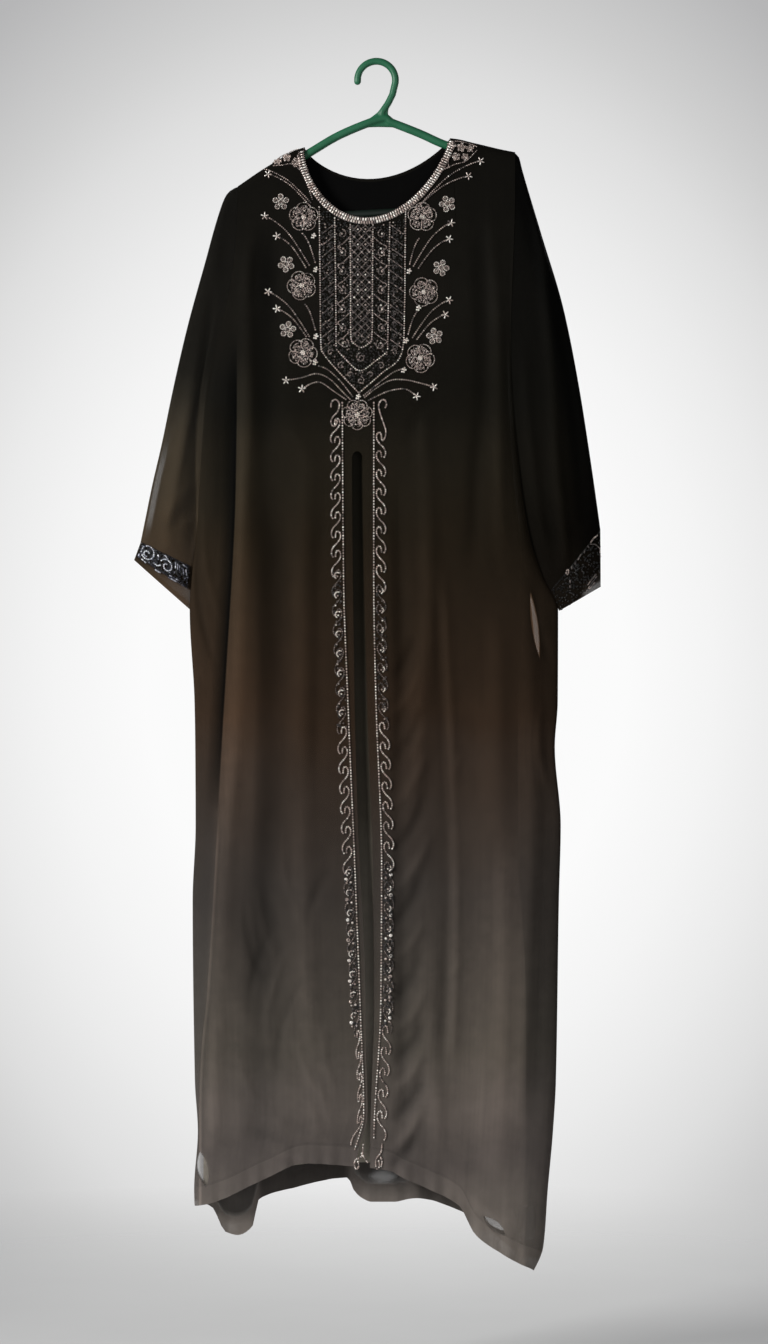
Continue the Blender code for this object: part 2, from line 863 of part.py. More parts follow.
def hanger_loop():
    """Centre line of the arms and the bar, as a loop."""
    def under_shoulder(x: float):
        return x, curve_at(SHOULDER, x) - ARM_DROP

    return smooth_path(
        (
            JUNCTION,
            (-49, -95),
            under_shoulder(-96),
            under_shoulder(-130),
            (-163, -160),
            (-181, -177),
            (-181, -200),
            (-163, -210.3),
            (-60, -204.5),
            (60, -197.8),
            (161, -192.1),
            (182, -179),
            (185, -153),
            (174, -129),
            under_shoulder(150),
            under_shoulder(98),
            (58.7, -93.4),
            (22, -79),
        ),
        4,
    )


def add_hanger():
    """The hanger: arms and bar in one loop, with the hook joined to them."""
    hanger = add_tube("hanger", hanger_loop(), ARM_RADIUS, True)
    collection.objects.link(hanger)
    hanger.data.materials.clear()
    hanger.data.materials.append(material_for("hanger", GREEN_PLASTIC))
    hook = add_tube("hook_tool", hook_path(), HOOK_THICKNESS / 2, False)
    hook.hide_render = True
    hook.display_type = "WIRE"
    tools.objects.link(hook)
    join = hanger.modifiers.new("Hook", "BOOLEAN")
    join.operation = "UNION"
    join.solver = "EXACT"
    join.object = hook


def build():
    """Makes every piece."""
    front = panel_points(FRONT_WALL, front_columns(), FRONT_HEM, CHEST_ROWS, ARM_ROWS, SKIRT_ROWS)
    slit_start = EDGE_ROWS + CHEST_ROWS
    slit = {(SLIT_COLUMN, row) for row in range(slit_start, slit_start + ARM_ROWS + SKIRT_ROWS)}
    add_sheet("front", front, BROWN_CHIFFON, skipped=slit)

    back_columns = plain_columns(BODY_SIDES, inset=0, shoulder_cells=5, neck_cells=8, first_share=0.02)
    back = panel_points(BACK_WALL, back_columns, BACK_HEM, CHEST_ROWS, ARM_ROWS, SKIRT_ROWS)
    add_sheet("back", back, BROWN_CHIFFON)

    lining_columns = plain_columns(LINING_SIDES, inset=6, shoulder_cells=3, neck_cells=8, first_share=0.03)
    for name, wall in (("lining_front", LINING_FRONT), ("lining_back", LINING_BACK)):
        points = panel_points(wall, lining_columns, LINING_HEM, LINING_CHEST_ROWS, LINING_ARM_ROWS, LINING_SKIRT_ROWS)
        add_sheet(name, points, DARK_LINING)

    for sleeve, edge in ((LEFT_SLEEVE, 0), (RIGHT_SLEEVE, -1)):
        grid = sleeve_points(sleeve, front[edge], back[edge])
        add_sheet(f"{sleeve.name}_sleeve", grid, BLACK_CHIFFON)
        add_sheet(f"{sleeve.name}_cuff", cuff_points(sleeve, grid), DARK_BEADS)

    over = CLOTH / 2 + SEAM
    neck = [line[: EDGE_ROWS + 1] for line in front[FIRST_NECK_COLUMN : LAST_NECK_COLUMN + 1]]
    add_sheet("neck_band", lifted(neck, over + SEAM + BAND_THICKNESS / 2), SILVER_BEADS, BAND_THICKNESS)

    raised = lifted(front, over + BEADING / 2)
    yoke_foot = EDGE_ROWS + YOKE_ROWS
    yoke = [line[EDGE_ROWS : yoke_foot + 1] for line in raised[FIRST_BORDER_COLUMN : LAST_BORDER_COLUMN + 1]]
    for line in yoke:
        line[0] = line[0].lerp(line[1], TRIM_CLEAR)
        line[-1] = line[-1].lerp(line[-2], TRIM_CLEAR)
    add_sheet("yoke_beading", yoke, DARK_BEADS, BEADING)
    left = [line[yoke_foot:] for line in raised[FIRST_BORDER_COLUMN:SLIT_COLUMN]]
    right = [line[yoke_foot:] for line in raised[SLIT_COLUMN + 2 : LAST_BORDER_COLUMN + 1]]
    add_sheet("left_border", left, SILVER_BEADS, BEADING)
    add_sheet("right_border", right, SILVER_BEADS, BEADING)
    add_hanger()


for leftover in list(bpy.data.objects):
    bpy.data.objects.remove(leftover)
collection = bpy.data.collections.new("kaftan")
tools = bpy.data.collections.new("cutters")
bpy.context.scene.collection.children.link(collection)
bpy.context.scene.collection.children.link(tools)
build()
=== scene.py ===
"""Dressed model of a long ombre chiffon kaftan with beaded trims, hung on a green plastic hanger.

+Z is up, the front faces -Y, and the origin is the inside top of the hanger's hook. Left and right are the viewer's.
Sizes in this file are millimetres and become metres where a mesh is made.
"""

import logging
import math
from dataclasses import dataclass, field
from enum import Enum
from functools import cached_property, reduce
from typing import Callable

import bpy
import numpy as np
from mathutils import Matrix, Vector


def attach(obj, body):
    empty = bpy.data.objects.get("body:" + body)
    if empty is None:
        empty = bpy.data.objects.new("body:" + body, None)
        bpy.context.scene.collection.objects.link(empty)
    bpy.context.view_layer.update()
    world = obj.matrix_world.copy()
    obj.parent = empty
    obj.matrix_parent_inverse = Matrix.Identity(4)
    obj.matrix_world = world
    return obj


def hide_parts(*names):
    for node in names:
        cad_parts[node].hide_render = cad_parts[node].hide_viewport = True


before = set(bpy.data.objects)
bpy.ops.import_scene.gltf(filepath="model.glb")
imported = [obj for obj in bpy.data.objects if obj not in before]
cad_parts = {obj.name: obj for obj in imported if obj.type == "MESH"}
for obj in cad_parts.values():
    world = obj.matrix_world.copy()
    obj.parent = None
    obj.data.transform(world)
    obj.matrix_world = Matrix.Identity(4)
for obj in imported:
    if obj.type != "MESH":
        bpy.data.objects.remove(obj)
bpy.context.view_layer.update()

LOG = logging.getLogger("kaftan")
MM = 0.001
Array = np.ndarray
Lane = Callable[[Array], Array]
Piece = bpy.types.Object
Material = bpy.types.Material
Socket = bpy.types.NodeSocket

# Sizes shared with the part's source, in millimetres
FRONT = -1
BACK = 1
CLOTH = 1.2
SHELL = 0.45
FACING = 1.5
ARM_RADIUS = 5.5
LINING_ROLL = 7.0
CHIFFON_ROLL = 9.1
SLOPE_STRETCH = 1.17
SHOULDER_END = 187
SEAM_EDGE = 0.36
SECTION_POWER = 2.6
ROLL_ANGLES = tuple(math.radians(turn) for turn in (0, 33, 61, 90))
NECK_CENTRE = 1.4
NECK_HALF_WIDTH = 98
NECK_HEIGHT = -105.3
NECK_RISE = 6
NECK_LEAN = -11
FRONT_NECK = (101.4, 1.35)
BACK_NECK = (47, 1.7)
NECK_TURN = 1.5
NECK_TURN_ANGLE = 40
BAND_WIDTH = 9.5
SLIT_TOP = -530
LEFT_UNDERARM = -640
RIGHT_UNDERARM = -692
SETTLED = -456
HEM_HEIGHT = -1500
YOKE_LEFT = -76
YOKE_RIGHT = 38.5
YOKE_FOOT = -400
BORDER_WIDTH = 19
BORDER_MARGIN = 3
YOKE_INSET = 30
SLIT_GAP = 2
HEM_BAND = 27
HEM_PUCKER = 0.9
LINING_ROOM = 1.3


def ease(share: Array) -> Array:
    """A smooth step from 0 to 1."""
    share = np.clip(share, 0.0, 1.0)
    return share * share * (3 - 2 * share)


def mix(start: Array, end: Array, share: Array) -> Array:
    """The value a share of the way from start to end."""
    return start + (end - start) * share


@dataclass(frozen=True)
class Curve:
    """A smooth line with no overshoot through (place, value) rows, flat beyond its ends."""

    rows: tuple

    @cached_property
    def parts(self) -> tuple[Array, Array, Array]:
        """The rows with the line's slope at each.

        Returns:
            Places, values and slopes, in rising order.
        """
        places, values = np.array(sorted(self.rows), float).T
        slopes = np.diff(values) / np.diff(places)
        product = slopes[:-1] * slopes[1:]
        total = slopes[:-1] + slopes[1:]
        inner = np.where(product <= 0, 0.0, 2 * product / np.where(total == 0, 1, total))
        return places, values, np.concatenate([slopes[:1], inner, slopes[-1:]])

    def at(self, where: Array) -> Array:
        """The line's value at a place.

        Args:
            where: One place or an array of them.

        Returns:
            The values, in the same shape.
        """
        places, values, slopes = self.parts
        where = np.clip(np.asarray(where, float), places[0], places[-1])
        i = np.clip(np.searchsorted(places, where, side="right") - 1, 0, len(places) - 2)
        width = places[i + 1] - places[i]
        t = (where - places[i]) / width
        rise = values[i + 1] - values[i]
        start, end = slopes[i] * width, slopes[i + 1] * width
        return values[i] + t * (start + t * (3 * rise - 2 * start - end + t * (start + end - 2 * rise)))


SHOULDER = Curve((
    (-215, -184), (-187, -164), (-140, -133), (-96.5, -111.4), (99, -99.2), (133, -106), (167, -114), (187, -118),
))
BODY_LEFT = Curve((
    (-1640, -238), (-1595, -241), (-1518, -246), (-1440, -241), (-1371, -245), (-1128, -248), (-1027, -244),
    (-921, -244.5), (-860, -245.5), (-735, -252), (-692, -250), (-640, -243), (-560, -238), (-470, -232), (-380, -223),
    (-300, -211), (-203, -198), (-164, -187), (-118, -187),
))
BODY_RIGHT = Curve((
    (-1640, 206), (-1595, 225), (-1518, 231), (-1440, 238), (-1371, 242), (-1128, 246), (-1027, 248.5), (-921, 240.5),
    (-860, 244.5), (-735, 245), (-692, 225), (-640, 207.5), (-560, 194), (-470, 185), (-380, 180), (-300, 179),
    (-203, 181.5), (-164, 186), (-118, 188),
))
LINING_LEFT = Curve((
    (-1560, -234), (-1465, -233), (-1370, -229), (-1128, -219), (-916, -206), (-768, -197), (-696, -192.5),
    (-585, -190), (-474, -188), (-300, -186), (-203, -183), (-118, -180),
))
LINING_RIGHT = Curve((
    (-1560, 188), (-1465, 192), (-1370, 200), (-1128, 213), (-916, 218), (-768, 212), (-696, 204), (-585, 187),
    (-474, 179), (-300, 173.5), (-203, 176), (-118, 180),
))
FRONT_DEPTH = Curve(((0, CHIFFON_ROLL), (60, 10.4), (150, 12.6), (400, 17), (800, 21), (1100, 26), (1500, 34)))
BACK_DEPTH = Curve(((0, CHIFFON_ROLL), (60, 10), (150, 11.6), (400, 15), (800, 18), (1100, 21), (1500, 27)))
LINING_DEPTH = Curve(((0, LINING_ROLL), (60, 7.4), (150, 8.2), (400, 10), (800, 12), (1100, 15), (1500, 19)))
CHIFFON_EDGE = Curve(((0, CHIFFON_ROLL), (0.25, 10), (0.6, 9), (0.85, 4), (1, FACING / 2)))
LINING_EDGE = Curve(((0, LINING_ROLL), (0.5, LINING_ROLL), (0.75, 3), (0.9, FACING / 2)))
FRONT_HEM = Curve((
    (-243, -1540), (-222, -1535), (-150, -1501), (-98, -1479.5), (-30, -1483.5), (18, -1489.5), (32, -1497),
    (66, -1512), (112, -1536), (136, -1575), (172, -1600), (205, -1616), (226, -1624), (234, -1628),
))
BACK_HEM = Curve((
    (-243, -1534), (-222, -1545), (-207, -1578), (-190, -1583), (-170, -1572), (-158, -1534), (-117, -1521),
    (-38, -1506), (-31, -1521), (-20, -1533), (-4, -1539), (24, -1539), (56, -1534), (114, -1550), (205, -1612),
))
LINING_HEM = Curve(((-234, -1513), (-150, -1491), (-60, -1479), (18, -1481), (66, -1501), (114, -1529), (190, -1541)))
LEFT_BEADS = Curve((
    (-1560, -32), (-1480, -32), (-1412, -17), (-1263, -22), (-1080, -29), (-855, -38.5), (-700, -44), (-456, -46),
))
RIGHT_BEADS = Curve(((-1560, -5), (-1432, -3), (-1263, 6), (-1080, 7), (-855, -0.7), (-700, -3.5), (-456, -3.5)))
LEFT_SLIT = Curve((
    (-1560, -28), (-1480, -28), (-1412, -15), (-1263, -14.6), (-1024, -25), (-855, -29.5), (-530, -33), (-200, -29),
))
RIGHT_SLIT = Curve(((-1560, -8.5), (-1432, -8), (-1263, -3), (-1080, -5), (-855, -12.8), (-530, -19), (-200, -10)))


@dataclass(frozen=True)
class Crease:
    """A soft ridge or trough down the cloth: (z, x) rows of its line, its height out of the wall and half width.

    A drop is a step instead of a ridge: the cloth beyond the line, towards +X, lies that much lower.
    """

    line: tuple
    height: float
    width: float
    fade: float = 90
    drop: bool = False

    def height_at(self, x: Array, z: Array) -> Array:
        """How far the crease lifts the cloth at a place of the wall.

        Args:
            x: Places across, in millimetres.
            z: Heights of the same places.

        Returns:
            The lift at each place.
        """
        centre = Curve(self.line)
        top, low = centre.parts[0][-1], centre.parts[0][0]
        across = (x - centre.at(z)) / self.width
        window = ease((top - z) / self.fade) * ease((z - low) / self.fade)
        uneven = 1 + 0.22 * np.sin(z / 71 + centre.parts[1][0]) + 0.12 * np.sin(z / 29 + centre.parts[1][-1])
        if self.drop:
            return -self.height * window * ease(across / 2 + 0.5)
        return self.height * window * uneven * np.exp(-across * across)


@dataclass(frozen=True)
class Wrinkle:
    """A short soft wrinkle between two places (x, z) of the wall."""

    start: tuple[float, float]
    end: tuple[float, float]
    height: float
    width: float

    def height_at(self, x: Array, z: Array) -> Array:
        """How far the wrinkle lifts the cloth at a place of the wall.

        Args:
            x: Places across, in millimetres.
            z: Heights of the same places.

        Returns:
            The lift at each place.
        """
        run = np.subtract(self.end, self.start)
        length = math.hypot(*run)
        along = ((x - self.start[0]) * run[0] + (z - self.start[1]) * run[1]) / length**2
        bow = 0.07 * length * np.sin(math.pi * np.clip(along, 0, 1))
        across = ((x - self.start[0]) * run[1] - (z - self.start[1]) * run[0]) / length - bow
        window = np.sin(math.pi * np.clip(along, 0, 1)) ** 0.7
        return self.height * window * np.exp(-((across / self.width) ** 2))


def wrinkles(*rows: tuple) -> tuple[Wrinkle, ...]:
    """Wrinkles from rows of their two ends, height and half width."""
    return tuple(Wrinkle(row[:2], row[2:4], *row[4:]) for row in rows)


FRONT_CREASES = tuple(Crease(*row) for row in (
    (((-200, -172), (-412, -172), (-619, -178), (-878, -186), (-1033, -198), (-1241, -211), (-1500, -223)), 4.6, 12),
    (((-190, -152), (-520, -150), (-723, -138), (-929, -138), (-1137, -150), (-1500, -158)), -5.4, 20),
    (((-500, -94), (-641, -98), (-774, -98), (-909, -100), (-1137, -96), (-1240, -92), (-1480, -70)), 3.4, 15),
    (((-560, -70), (-669, -77), (-790, -79), (-1000, -79)), -1.4, 10),
    (((-1060, -160), (-1120, -148), (-1199, -128), (-1344, -130), (-1440, -138)), -1.5, 9),
    (((-540, 26), (-599, 29), (-827, 34), (-982, 29), (-1137, 34), (-1324, 36), (-1470, 38)), -3.4, 10),
    (((-440, 62), (-495, 64), (-723, 71), (-889, 58), (-1063, 50)), 3.6, 12),
    (((-660, 90), (-723, 92), (-827, 97), (-982, 105), (-1137, 107), (-1380, 101)), 2.4, 7),
    (((-680, 82), (-900, 90), (-1137, 96), (-1380, 88)), -1.8, 8),
    (((-200, 139), (-257, 141), (-412, 144), (-568, 133), (-700, 130)), -2.8, 11),
    (((-170, 152), (-240, 156), (-361, 164), (-568, 166), (-700, 172)), 3.0, 10),
    (((-800, 148), (-1000, 154), (-1250, 150), (-1520, 146)), 2.6, 18),
    (((-720, 160), (-900, 166), (-1137, 172), (-1540, 164)), 2.4, 13),
    (((-1100, 70), (-1250, 72), (-1500, 84)), 2.8, 13),
    (((-640, 204), (-800, 214), (-960, 219), (-1200, 212), (-1480, 196)), 5.5, 13, 120, True),
    (((-460, -192), (-516, -188), (-696, -192), (-916, -206), (-1128, -219), (-1469, -233)), -4.6, 9, 60, True),
))
FRONT_WRINKLES = wrinkles(
    (24, -830, 50, -770, -3.0, 6), (22, -880, 58, -812, 2.6, 6), (24, -940, 62, -868, -3.2, 7),
    (26, -1000, 68, -925, 3.0, 7), (26, -1062, 66, -980, -4.0, 8), (28, -1112, 72, -1036, 3.4, 7),
    (24, -1160, 62, -1090, -4.2, 8), (28, -1205, 64, -1150, 2.8, 6), (26, -1262, 62, -1190, -3.6, 8),
    (24, -1305, 68, -1240, 3.2, 7), (26, -1345, 66, -1285, -4.2, 8), (22, -1385, 64, -1325, 3.4, 7),
    (22, -1424, 66, -1362, -4.4, 8), (20, -1462, 62, -1402, 3.4, 7), (18, -1484, 58, -1440, -3.6, 7),
    (96, -1230, 114, -1205, 1.4, 4), (96, -960, 118, -925, 1.2, 4), (-150, -1450, -96, -1478, 1.8, 6),
    (-176, -1430, -120, -1450, -1.8, 7), (-150, -1395, -84, -1440, -1.8, 8), (-110, -1300, -66, -1400, 1.9, 6),
    (-200, -1250, -130, -1330, 1.5, 9), (-60, -1080, -94, -1170, -1.8, 7), (-178, -1120, -142, -1250, -1.9, 5),
    (-160, -1105, -122, -1230, 1.7, 5), (-132, -1150, -172, -1290, -1.6, 5), (-112, -1180, -150, -1330, 1.7, 5),
    (-98, -1230, -136, -1370, -1.7, 5), (-130, -1040, -96, -1160, 1.6, 5), (-186, -1330, -146, -1420, 1.6, 6),
    (-84, -1350, -58, -1450, -1.8, 6), (-70, -1290, -52, -1390, 1.6, 5), (120, -1520, 196, -1565, 1.8, 8),
    (100, -1470, 190, -1500, -1.4, 10), (-120, -470, -70, -560, 1.4, 10), (90, -430, 40, -520, -1.4, 10),
    (-240, -650, -212, -820, -2.8, 4), (-232, -600, -204, -760, 2.0, 5), (214, -700, 240, -820, -2.4, 5),
    (222, -860, 236, -990, 1.8, 5),
)
BACK_CREASES = tuple(Crease(*row) for row in (
    (((-300, -165), (-560, -170), (-1000, -184), (-1560, -196)), 5, 15),
    (((-260, -140), (-520, -150), (-1000, -152), (-1540, -160)), -4.5, 14),
    (((-360, -100), (-700, -112), (-1100, -114), (-1510, -118)), 4.4, 16),
    (((-460, -60), (-800, -66), (-1200, -62), (-1500, -66)), -3.8, 13),
    (((-240, -16), (-620, -24), (-1100, -20), (-1530, -26)), 4.6, 15),
    (((-500, 26), (-900, 22), (-1300, 30), (-1540, 20)), -4.0, 14),
    (((-300, 60), (-700, 70), (-1200, 64), (-1540, 70)), 4.2, 14),
    (((-420, 108), (-800, 112), (-1200, 118), (-1560, 116)), -4.4, 15),
    (((-220, 150), (-600, 158), (-1100, 166), (-1600, 170)), 4.8, 14),
    (((-640, 204), (-800, 214), (-960, 219), (-1200, 212), (-1480, 196)), 5.0, 13, 120, True),
))
BACK_WRINKLES = wrinkles(
    (-120, -220, -40, -300, -1.8, 12), (110, -210, 40, -290, 1.8, 12), (-90, -700, -30, -800, 1.6, 10),
    (60, -980, 110, -1070, -1.6, 9), (-160, -1300, -90, -1380, 1.6, 9), (20, -1380, 90, -1450, 1.6, 9),
)
LINING_CREASES = tuple(Crease(*row) for row in (
    (((-250, -90), (-700, -96), (-1200, -100), (-1480, -104)), 1.8, 15),
    (((-420, -20), (-900, -24), (-1450, -14)), -1.2, 12),
    (((-360, 70), (-900, 78), (-1480, 82)), 1.8, 15),
    (((-500, 130), (-1000, 140), (-1500, 140)), -1.6, 15),
))


def drop_at(x: Array, z: Array) -> Array:
    """Distance down from the shoulder line."""
    return np.maximum(SHOULDER.at(x) - z, 0.0)


@dataclass(frozen=True)
class Wall:
    """One body panel: the way it faces, its edge lines, its depths, its creases and its roll over the hanger."""

    face: int
    left: Curve
    right: Curve
    depth: Curve
    edge: Curve
    creases: tuple
    roll: float
    within: "Wall | None" = None

    def folds_at(self, x: Array, z: Array) -> Array:
        """How far the creases lift the cloth at places on it, in millimetres."""
        return sum(crease.height_at(x, z) for crease in self.creases)

    def depth_at(self, x: Array, z: Array) -> Array:
        """The wall's signed Y at places on it.

        Args:
            x: Places across, in millimetres.
            z: Heights of the same places.

        Returns:
            Y of each place.
        """
        left, right = self.left.at(z), self.right.at(z)
        share = np.clip((2 * x - left - right) / (right - left), -1.0, 1.0)
        drop = drop_at(x, z)
        full = self.depth.at(drop)
        left_top, right_top = SHOULDER.at(-SHOULDER_END), SHOULDER.at(SHOULDER_END)
        left_edge = self.edge.at((left_top - z) / (left_top - LEFT_UNDERARM))
        right_edge = self.edge.at((right_top - z) / (right_top - RIGHT_UNDERARM))
        edge = mix(left_edge, right_edge, (share + 1) / 2)
        bulge = np.sqrt(1 - np.abs(share) ** SECTION_POWER)
        folds = self.folds_at(x, z) * ease(bulge * 2.2) * ease((drop - 40) / 120)
        rolled = np.sqrt(1 - (1 - np.minimum(drop / (self.roll * SLOPE_STRETCH), 1.0)) ** 2)
        plain = edge + (full - edge) * bulge
        if self.within:
            room = np.maximum(plain - np.abs(self.within.depth_at(x, z)) - LINING_ROOM, 0.3)
            folds = np.where(folds < 0, -room * np.tanh(-folds / room), folds)
        return self.face * np.maximum((plain + folds) * rolled, SEAM_EDGE)


LINING_FRONT = Wall(FRONT, LINING_LEFT, LINING_RIGHT, LINING_DEPTH, LINING_EDGE, LINING_CREASES, LINING_ROLL)
LINING_BACK = Wall(BACK, LINING_LEFT, LINING_RIGHT, LINING_DEPTH, LINING_EDGE, LINING_CREASES, LINING_ROLL)
FRONT_WALL = Wall(
    FRONT, BODY_LEFT, BODY_RIGHT, FRONT_DEPTH, CHIFFON_EDGE, FRONT_CREASES + FRONT_WRINKLES, CHIFFON_ROLL, LINING_FRONT
)
BACK_WALL = Wall(
    BACK, BODY_LEFT, BODY_RIGHT, BACK_DEPTH, CHIFFON_EDGE, BACK_CREASES + BACK_WRINKLES, CHIFFON_ROLL, LINING_BACK
)


def neck_point(face: int, angle: Array) -> tuple[Array, Array]:
    """A point of the neckline by its angle: 180 at the left neck point, 90 at the bottom and 0 at the right.

    Args:
        face: FRONT or BACK.
        angle: Degrees, one or several.

    Returns:
        X and Z of the point.
    """
    drop, power = FRONT_NECK if face == FRONT else BACK_NECK
    turn = np.radians(angle)
    sine = np.maximum(np.sin(turn), 0.0)
    x = NECK_CENTRE + NECK_HALF_WIDTH * np.cos(turn) + NECK_LEAN * sine * drop / FRONT_NECK[0]
    return x, NECK_HEIGHT + NECK_RISE * np.cos(turn) - drop * sine**power


def neck_outward(face: int, angle: float) -> tuple[float, float]:
    """Step from the neckline across one unit of band, square to the neckline and turned down by the shoulders.

    Args:
        face: FRONT or BACK.
        angle: Degrees along the neckline.

    Returns:
        The step's X and Z.
    """
    before = neck_point(face, min(angle + 1, 180))
    after = neck_point(face, max(angle - 1, 0))
    run = (after[0] - before[0], after[1] - before[1])
    size = math.hypot(*run)
    square = (run[1] / size, -run[0] / size)
    turned = NECK_TURN * max(1 - min(angle, 180 - angle) / NECK_TURN_ANGLE, 0)
    across = (square[0], square[1] - turned)
    stretch = 1 / max(square[0] * across[0] + square[1] * across[1], 0.6)
    return across[0] * stretch, across[1] * stretch


@dataclass(frozen=True)
class Column:
    """A line down a panel: where it starts, on the shoulder or the neckline, and the lane that it keeps below."""

    shoulder_x: float | None
    neck_angle: float
    lane: Lane

    def top(self, wall: Wall, steps: Array) -> tuple[Array, Array]:
        """The first rows, over the hanger or across the neck band.

        Args:
            wall: The panel's wall.
            steps: Row numbers from 0 to 3, in between too.

        Returns:
            X and Z of each row.
        """
        lowered = (CHIFFON_ROLL - wall.roll) * SLOPE_STRETCH + CLOTH / 2
        if self.shoulder_x is not None:
            turn = np.interp(steps, range(4), ROLL_ANGLES)
            fall = wall.roll * SLOPE_STRETCH * (1 - np.cos(turn))
            return np.full(len(steps), self.shoulder_x), SHOULDER.at(self.shoulder_x) - fall - lowered
        x, z = neck_point(wall.face, self.neck_angle)
        out_x, out_z = neck_outward(wall.face, self.neck_angle)
        step = BAND_WIDTH * steps / 3 + (CHIFFON_ROLL - wall.roll)
        return x + out_x * step, z + out_z * step - lowered


@dataclass(frozen=True)
class Between:
    """A line down a panel a share of the way between two of its columns."""

    before: Column
    after: Column
    share: float

    def lane(self, z: Array) -> Array:
        """X of the line at heights below the yoke."""
        return mix(self.before.lane(z), self.after.lane(z), self.share)

    def top(self, wall: Wall, steps: Array) -> tuple[Array, Array]:
        """The first rows, as Column.top gives them.

        Args:
            wall: The panel's wall.
            steps: Row numbers from 0 to 3, in between too.

        Returns:
            X and Z of each row.
        """
        a, b = self.before, self.after
        if a.shoulder_x is None and b.shoulder_x is None:
            return Column(None, float(mix(a.neck_angle, b.neck_angle, self.share)), a.lane).top(wall, steps)
        (ax, az), (bx, bz) = a.top(wall, steps), b.top(wall, steps)
        if a.shoulder_x is not None and b.shoulder_x is not None:
            return Column(float(mix(a.shoulder_x, b.shoulder_x, self.share)), 0, a.lane).top(wall, steps)
        return mix(ax, bx, self.share), mix(az, bz, self.share)


@dataclass(frozen=True)
class Rows:
    """How many rows a panel has in its top edge, chest, arm and skirt."""

    edge: int = 9
    chest: int = 44
    arm: int = 18
    skirt: int = 150

    @property
    def steps(self) -> Array:
        """The rows from the top to the underarm.

        Returns:
            Each one's number in the source, where they end at 15.
        """
        edge = np.linspace(0, 3, self.edge + 1)
        chest = np.linspace(3, 11, self.chest + 1)[1:]
        return np.concatenate([edge, chest, np.linspace(11, 15, self.arm + 1)[1:]])

    @property
    def slit(self) -> int:
        """The row at the top of the slit."""
        return self.edge + self.chest


def underarm_at(x: Array) -> Array:
    """Height of the row that runs from one underarm to the other."""
    left, right = BODY_LEFT.at(LEFT_UNDERARM), BODY_RIGHT.at(RIGHT_UNDERARM)
    return mix(LEFT_UNDERARM, RIGHT_UNDERARM, np.clip((x - left) / (right - left), 0.0, 1.0))


def panel_points(wall: Wall, columns: list[Column], hem: Curve, rows: Rows, cells: int) -> Array:
    """Points of a body panel, from the top edge to the hem.

    Args:
        wall: The panel's wall.
        columns: Its lines, from left to right.
        hem: Height of the hem across the panel.
        rows: How many rows each stretch has.
        cells: How many cells each space between two lines has.

    Returns:
        An array (line, row, 3) in millimetres.
    """
    lowered = (CHIFFON_ROLL - wall.roll) * SLOPE_STRETCH + CLOTH / 2
    span = math.radians(360) / 34
    lines = []
    for place in np.linspace(0, len(columns) - 1, (len(columns) - 1) * cells + 1):
        i = min(int(place + 1e-9), len(columns) - 2)
        line = Between(columns[i], columns[i + 1], float(place - i))
        top_x, top_z = line.top(wall, np.linspace(0, 3, rows.edge + 1))
        arm_z = underarm_at(line.lane(np.array(LEFT_UNDERARM)))
        hem_z = hem.at(line.lane(np.array(HEM_HEIGHT)))
        stretches = ((top_z[-1], SLIT_TOP, rows.chest), (SLIT_TOP, arm_z, rows.arm), (arm_z, hem_z, rows.skirt))
        z = np.concatenate([np.linspace(start, end, count + 1)[1:] for start, end, count in stretches])
        settled = np.where(z > SETTLED, ease((top_z[-1] - z) / (top_z[-1] - SETTLED)), 1.0)
        x = np.concatenate([top_x, mix(top_x[-1], line.lane(z), settled)])
        z = np.concatenate([top_z, z])
        ripple = np.sin(x * span) + 0.8 * np.sin(x * span * 1.7 + 2) + 0.5 * np.sin(x * span * 0.6 + 4)
        pucker = HEM_PUCKER * ripple * np.exp((hem_z - z) / HEM_BAND) * ease((z[0] - z) / 300)
        side = ease((x - wall.left.at(z)) / 20) * ease((wall.right.at(z) - x) / 20)
        lines.append(np.stack([x, wall.depth_at(x, z + lowered) + wall.face * pucker * side, z], axis=-1))
    return np.array(lines)


@dataclass(frozen=True)
class Border:
    """The lines of one beaded border: its side, -1 or 1, its bead line, the slit's edge and the yoke's edge."""

    side: int
    beads: Curve
    slit_edge: Curve
    yoke: float

    @staticmethod
    def below_yoke(line: Array, yoke: float, z: Array) -> Array:
        """The yoke's edge above the yoke's foot, and the border's line below it."""
        return mix(yoke, line, ease((YOKE_FOOT - z) / (YOKE_FOOT - SETTLED)))

    def outer(self, z: Array) -> Array:
        """Outer edge of the border."""
        return self.below_yoke(self.beads.at(z) + self.side * (BORDER_WIDTH - BORDER_MARGIN), self.yoke, z)

    def inner(self, z: Array) -> Array:
        """Edge of the border by the slit."""
        return self.below_yoke(self.beads.at(z) - self.side * BORDER_MARGIN, self.yoke - self.side * YOKE_INSET, z)

    def slit(self, z: Array) -> Array:
        """Edge of the slit, never past the border."""
        nearer = np.maximum if self.side < 0 else np.minimum
        return nearer(self.slit_edge.at(z), self.inner(z) - self.side * SLIT_GAP)


LEFT_BORDER = Border(-1, LEFT_BEADS, LEFT_SLIT, YOKE_LEFT)
RIGHT_BORDER = Border(1, RIGHT_BEADS, RIGHT_SLIT, YOKE_RIGHT)


def lane_between(left: Lane, right: Lane, share: float) -> Lane:
    """A line that keeps a share of the way from one line to the other at every height."""
    return lambda z: mix(left(z), right(z), share)


